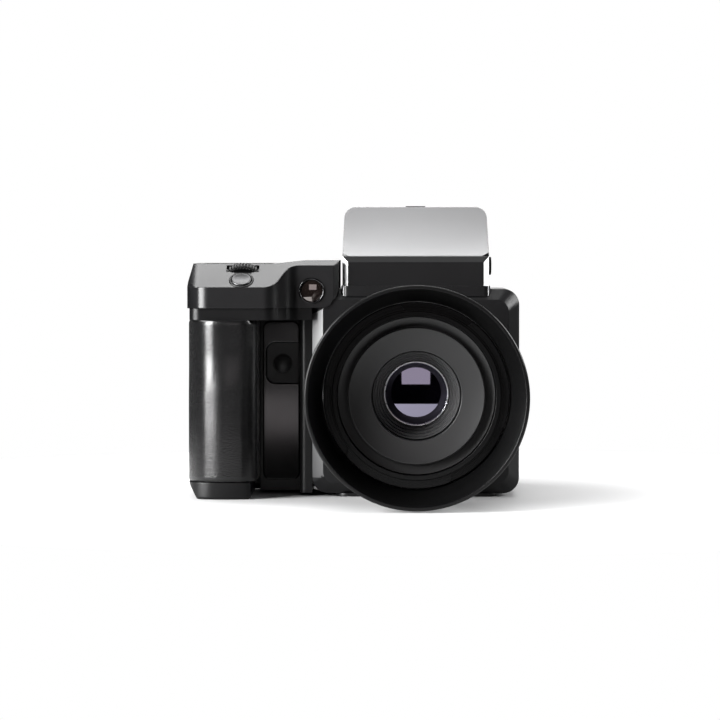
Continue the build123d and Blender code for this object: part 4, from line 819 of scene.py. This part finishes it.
def gripPoints(rows=64, columns=24):
    # the plan, its front pushed out by a parabola across it and its outer half leaning back by a
    # power of 1.5 towards the outer edge; the skin's two ends are drawn in by a quarter turn, and
    # its inside lies a thickness further in
    share = np.linspace(0, 1, rows)[:, None]
    x, y = gripPlan(share, np.linspace(0, 1, columns)[None, :])
    across = (2 * x - grip["left"] - grip["right"]) / (grip["right"] - grip["left"])
    forward = np.clip((grip["innerEnd"] - y) / (grip["innerEnd"] - grip["front"]), 0, 1)
    swell = grip["bulge"] * easedTable(grip["swell"], share)
    y = y - swell * (1 - across ** 2) * forward ** 2
    y = y + easedTable(grip["lean"], share) * np.maximum(-across, 0) ** 1.5 * forward ** 2
    alongX = np.gradient(x, axis=1)
    alongY = np.gradient(y, axis=1)
    length = np.hypot(alongX, alongY)
    inX, inY = -alongY / length, alongX / length
    height = grip["bottom"] + (grip["top"] - grip["bottom"]) * share
    nearEnd = np.minimum(height - grip["bottom"], grip["top"] - height)
    soft = np.clip(1 - nearEnd / grip["edge"], 0, 1)
    pull = grip["edge"] * (1 - np.sqrt(1 - soft ** 2))
    deep = grip["thickness"]
    outside = np.stack([x + inX * pull, y + inY * pull, height + 0 * x], -1)
    inside = np.stack([x + inX * deep, y + inY * deep, height + 0 * x], -1)[:, ::-1]
    loop = np.concatenate([outside, inside], 1)
    middle = (loop + loop[:, ::-1]) / 2
    return np.concatenate([middle[:1], loop, middle[-1:]], 0)


standIn("grip_rubber", gridMesh("gripSkin", gripPoints()), "rubber")


# recess panel: a plate with a hollow that is open to the right, and a sunk ring round its button

recess = dict(
    left=-73.1, right=-55.4, bottom=6.7, top=82.7, corner=3.6, back=-12.0, front=-13.4,
    rimWidth=0.6, rimDrop=0.9, least=0.05,
    hollowLeft=-71.8, hollowBottom=52.4, hollowTop=73.0, hollowCorner=5.0, depth=1.28, lip=0.7,
    lipShare=0.7, buttonX=-63.5, buttonZ=62.4, ringRadius=4.35, ringWidth=0.28, ringDepth=0.25,
)


def pastOutline(offX, offZ, corner):
    # distance outside an outline with round corners, from the distances past the corners' centres
    outer = np.hypot(np.maximum(offX, 0), np.maximum(offZ, 0))
    return outer + np.minimum(np.maximum(offX, offZ), 0) - corner


def recessPoints(columns=120, rows=300):
    # the face is pressed in where it lies inside the hollow: quickly at the hollow's edge, by a
    # smooth step, then by a quarter sine towards its middle; the plate's own rim falls off as a
    # square, and points outside its rounded corners slide in to the rim
    left, right, corner = recess["left"], recess["right"], recess["corner"]
    bottom, top, back = recess["bottom"], recess["top"], recess["back"]
    x = np.linspace(left, right, columns)[None, :]
    z = np.linspace(bottom, top, rows)[:, None]
    midX, midZ = (left + right) / 2, (bottom + top) / 2
    offX = np.abs(x - midX) - ((right - left) / 2 - corner)
    offZ = np.abs(z - midZ) - ((top - bottom) / 2 - corner)
    rim = pastOutline(offX, offZ, corner)
    hollowMid = (recess["hollowBottom"] + recess["hollowTop"]) / 2
    hollowHalf = (recess["hollowTop"] - recess["hollowBottom"]) / 2
    inside = -pastOutline(
        recess["hollowLeft"] + recess["hollowCorner"] - x + 0 * z,
        np.abs(z - hollowMid) - (hollowHalf - recess["hollowCorner"]) + 0 * x, recess["hollowCorner"],
    )
    step = np.clip(inside / recess["lip"], 0, 1)
    bowl = np.sin(np.clip(inside / hollowHalf, 0, 1) * math.pi / 2)
    lipShare = recess["lipShare"]
    sunk = recess["depth"] * (lipShare * step ** 2 * (3 - 2 * step) + (1 - lipShare) * bowl)
    reach = np.hypot(x - recess["buttonX"], z - recess["buttonZ"])
    ring = np.clip(1 - np.abs(reach - recess["ringRadius"]) / recess["ringWidth"], 0, 1)
    drop = np.clip((rim + recess["rimWidth"]) / recess["rimWidth"], 0, 1)
    y = recess["front"] + np.maximum(sunk, 0) + ring * recess["ringDepth"]
    y = np.minimum(y + recess["rimDrop"] * drop ** 2, back - recess["least"])
    slide = np.maximum(rim, 0)
    spare = np.maximum(rim + corner, 0.01)
    x = x - np.sign(x - midX) * (slide * np.maximum(offX, 0) / spare)
    z = z - np.sign(z - midZ) * (slide * np.maximum(offZ, 0) / spare)
    face = np.stack([x, y, z], -1)

    def atBack(points):
        return points * [1, 0, 1] + [0, back, 0]

    face = np.concatenate([atBack(face[:1]), face, atBack(face[-1:])], 0)
    return np.concatenate([atBack(face[:, :1]), face, atBack(face[:, -1:])], 1)


standIn("recess_panel", gridMesh("recessPlate", recessPoints(), closedColumns=False), "panel")


# casings, straight from the frame

casings = {
    "body_housing": "housing", "finder_body": "housing", "back_housing": "housing",
    "top_cover": "cover", "finder_cap": "silver", "grip_housing": "matte", "battery_door": "matte",
    "base_plate": "housing", "accessory_shoe": "barrel", "strap_bars": "barrel",
    "lens_mount_ring": "steel", "tripod_bush_small": "steel", "tripod_bush_large": "steel",
}
for node, finish in casings.items():
    finishedCopy(node, finish)


def finishFaces(name, finish, low, high, reading="normal"):
    # the faces whose normal, or centre, lies between two limits, axis by axis, take another finish
    mesh = bpy.data.objects[name].data
    values = np.empty(3 * len(mesh.polygons))
    mesh.polygons.foreach_get(reading, values)
    values = values.reshape(-1, 3)
    chosen = np.all((values >= low) & (values <= high), 1)
    slots = np.empty(len(mesh.polygons), int)
    mesh.polygons.foreach_get("material_index", slots)
    if finishes[finish].name not in mesh.materials:
        mesh.materials.append(finishes[finish])
    slots[chosen] = mesh.materials.find(finishes[finish].name)
    mesh.polygons.foreach_set("material_index", slots)
    mesh.update()


# painted highlight: only the housing edge faces that turn to the left and front take the bright
# metal; the right edge keeps the black paint
finishFaces("body_housingSkin", "paintedHighlightEdge", (-0.8, -0.8, -0.3), (-0.6, -0.6, 0.3))
finishFaces("finder_bodySkin", "chamfer", (-0.8, -0.8, -0.1), (0.8, -0.6, 0.1))
finishFaces("finder_capSkin", "housing", (-0.98, -0.95, -0.2), (-0.3, -0.1, 0.65))
finishFaces("finder_capSkin", "housing", (0.3, -0.95, -0.2), (0.98, -0.1, 0.65))
finishFaces("recess_panelShell", "hollow", (-0.0713, -0.0131, 0.0528), (-0.055, -0.0119, 0.0726),
            "center")
print("casings built")

hiddenNodes = {
    "mirror_box": "matte", "case_screws": "steel", "focusing_screen": "plainGlass",
    "reflex_mirror": "mirror", "sub_mirror": "mirror", "shutter_frame": "matte",
    "battery": "matte", "prism_glass": "plainGlass", "iris_blades": "matte", "sensor": "screen",
    "shutter_blade_1": "matte", "shutter_blade_2": "matte", "shutter_blade_3": "matte",
}
for node, finish in hiddenNodes.items():
    frame["nodes"][node].data.materials.clear()
    frame["nodes"][node].data.materials.append(finishes[finish])


# floor, light and camera

studio = dict(
    # the floor's glow from the middle outward is painted light, and the grey middle it leaves is a
    # painted shadow halo
    floorTone=(0.42, 0.42, 0.422), floorReach=0.33, floorDrop=0.05,
    paintedGlowFrom=0.07, paintedGlowTo=0.19, paintedFloorGlow=0.6, worldGlow=0.0, backgroundGlow=1.0,
    lights={
        "rearTop": dict(place=(0.0, 0.52, 1.45), size=(1.5, 0.6), power=26.0),
        "top": dict(place=(0.0, -0.42, 1.45), size=(0.6, 0.95), power=1.5),
        "left": dict(place=(-1.0, -0.65, 0.42), size=(0.78, 0.8), power=64.0),
        "right": dict(place=(1.15, -0.04, 0.7), size=(0.5, 0.7), power=20.0),
        "front": dict(place=(0.0, -1.2, 0.32), size=(0.47, 0.34), power=0.8,
                      tint=(1.0, 0.93, 0.95)),
        "rear": dict(place=(0.3, 1.7, 0.9), size=(1.2, 0.8), power=12.0),
    },
    lookAt=(0.0, -0.03, 0.06),
    camera=dict(place=(-0.0084, -1.630, 0.1192), pitch=-1.95, turn=0.644, lens=169.0, film=36.0),
)
bpy.context.scene.view_settings.gamma = 0.87  # the photo's dark, contrasty print
bpy.context.scene.view_settings.view_transform = "Standard"


def makeLight(name, place, size, power, tint=(1.0, 1.0, 1.0)):
    # a rectangle of light, tipped by the angle of its aim from straight down and turned to face it
    lamp = bpy.data.lights.new(name, "AREA")
    lamp.color = tint
    lamp.shape = "RECTANGLE"
    lamp.size, lamp.size_y = size
    lamp.energy = power
    holder = bpy.data.objects.new(name, lamp)
    holder.location = place
    aim = np.array(place) - np.array(studio["lookAt"])
    flat = math.hypot(aim[0], aim[1])
    holder.rotation_euler = (math.atan2(flat, aim[2]), 0, math.atan2(aim[0], -aim[1]))
    bpy.context.scene.collection.objects.link(holder)


for name, facts in studio["lights"].items():
    makeLight(name, **facts)

floorRings = np.column_stack([
    np.linspace(0, studio["floorReach"] / mm, 24), np.full(24, -studio["floorDrop"]),
])
floorMesh = gridMesh("floor", turnedPoints(floorRings, 96, centre=(0, 0, 0), along=(0, 0, 1)))
floor = bpy.data.objects.new("floor", floorMesh)
bpy.context.scene.collection.objects.link(floor)
floorFinish = Finish("paleFloorPaintedGlow")
speckle = floorFinish.noise(6.0, 2.0)
fromMiddle = floorFinish.node("ShaderNodeVectorMath", {"operation": "LENGTH"},
                              {0: floorFinish.place()}, "Value")
# painted light: the floor glows white from the first radius outward though it is no lamp, so only a
# grey ring round the camera keeps the floor's own lit tone, a painted shadow halo besides the real
# shadows in it
paintedFloorGlow = floorFinish.node("ShaderNodeMapRange", {"interpolation_type": "SMOOTHSTEP"}, {
    0: fromMiddle, 1: studio["paintedGlowFrom"], 2: studio["paintedGlowTo"], 3: 0.0, 4: 1.0,
})
darkFloor = [t * 0.99 for t in studio["floorTone"]]
floorMesh.materials.append(floorFinish.surface(**{
    "Base Color": floorFinish.shade(speckle, darkFloor, studio["floorTone"]),
    "Roughness": 0.75,
    "Emission Color": floorFinish.shade(paintedFloorGlow, (0.0, 0.0, 0.0), (1.0, 1.0, 1.0)),
    "Emission Strength": studio["paintedFloorGlow"],
}))

world = bpy.data.worlds.new("studio")
bpy.context.scene.world = world
sky = Finish("studio", world)
seen = sky.node("ShaderNodeLightPath", output="Is Camera Ray")
glow = sky.node("ShaderNodeMix", {"data_type": "FLOAT"},
                {0: seen, 2: studio["worldGlow"], 3: studio["backgroundGlow"]})
backdrop = sky.node("ShaderNodeBackground", None, {"Color": (1.0, 1.0, 1.0, 1.0), "Strength": glow})
sky.node("ShaderNodeOutputWorld", None, {"Surface": backdrop})

view = bpy.data.cameras.new("viewpoint")
view.lens = studio["camera"]["lens"]
view.sensor_width = studio["camera"]["film"]
view.clip_end = 30.0
camera = bpy.data.objects.new("viewpoint", view)
camera.location = studio["camera"]["place"]
camera.rotation_euler = (
    math.radians(90 + studio["camera"]["pitch"]), 0, math.radians(studio["camera"]["turn"]),
)
bpy.context.scene.collection.objects.link(camera)
bpy.context.scene.camera = camera
print("stage set")
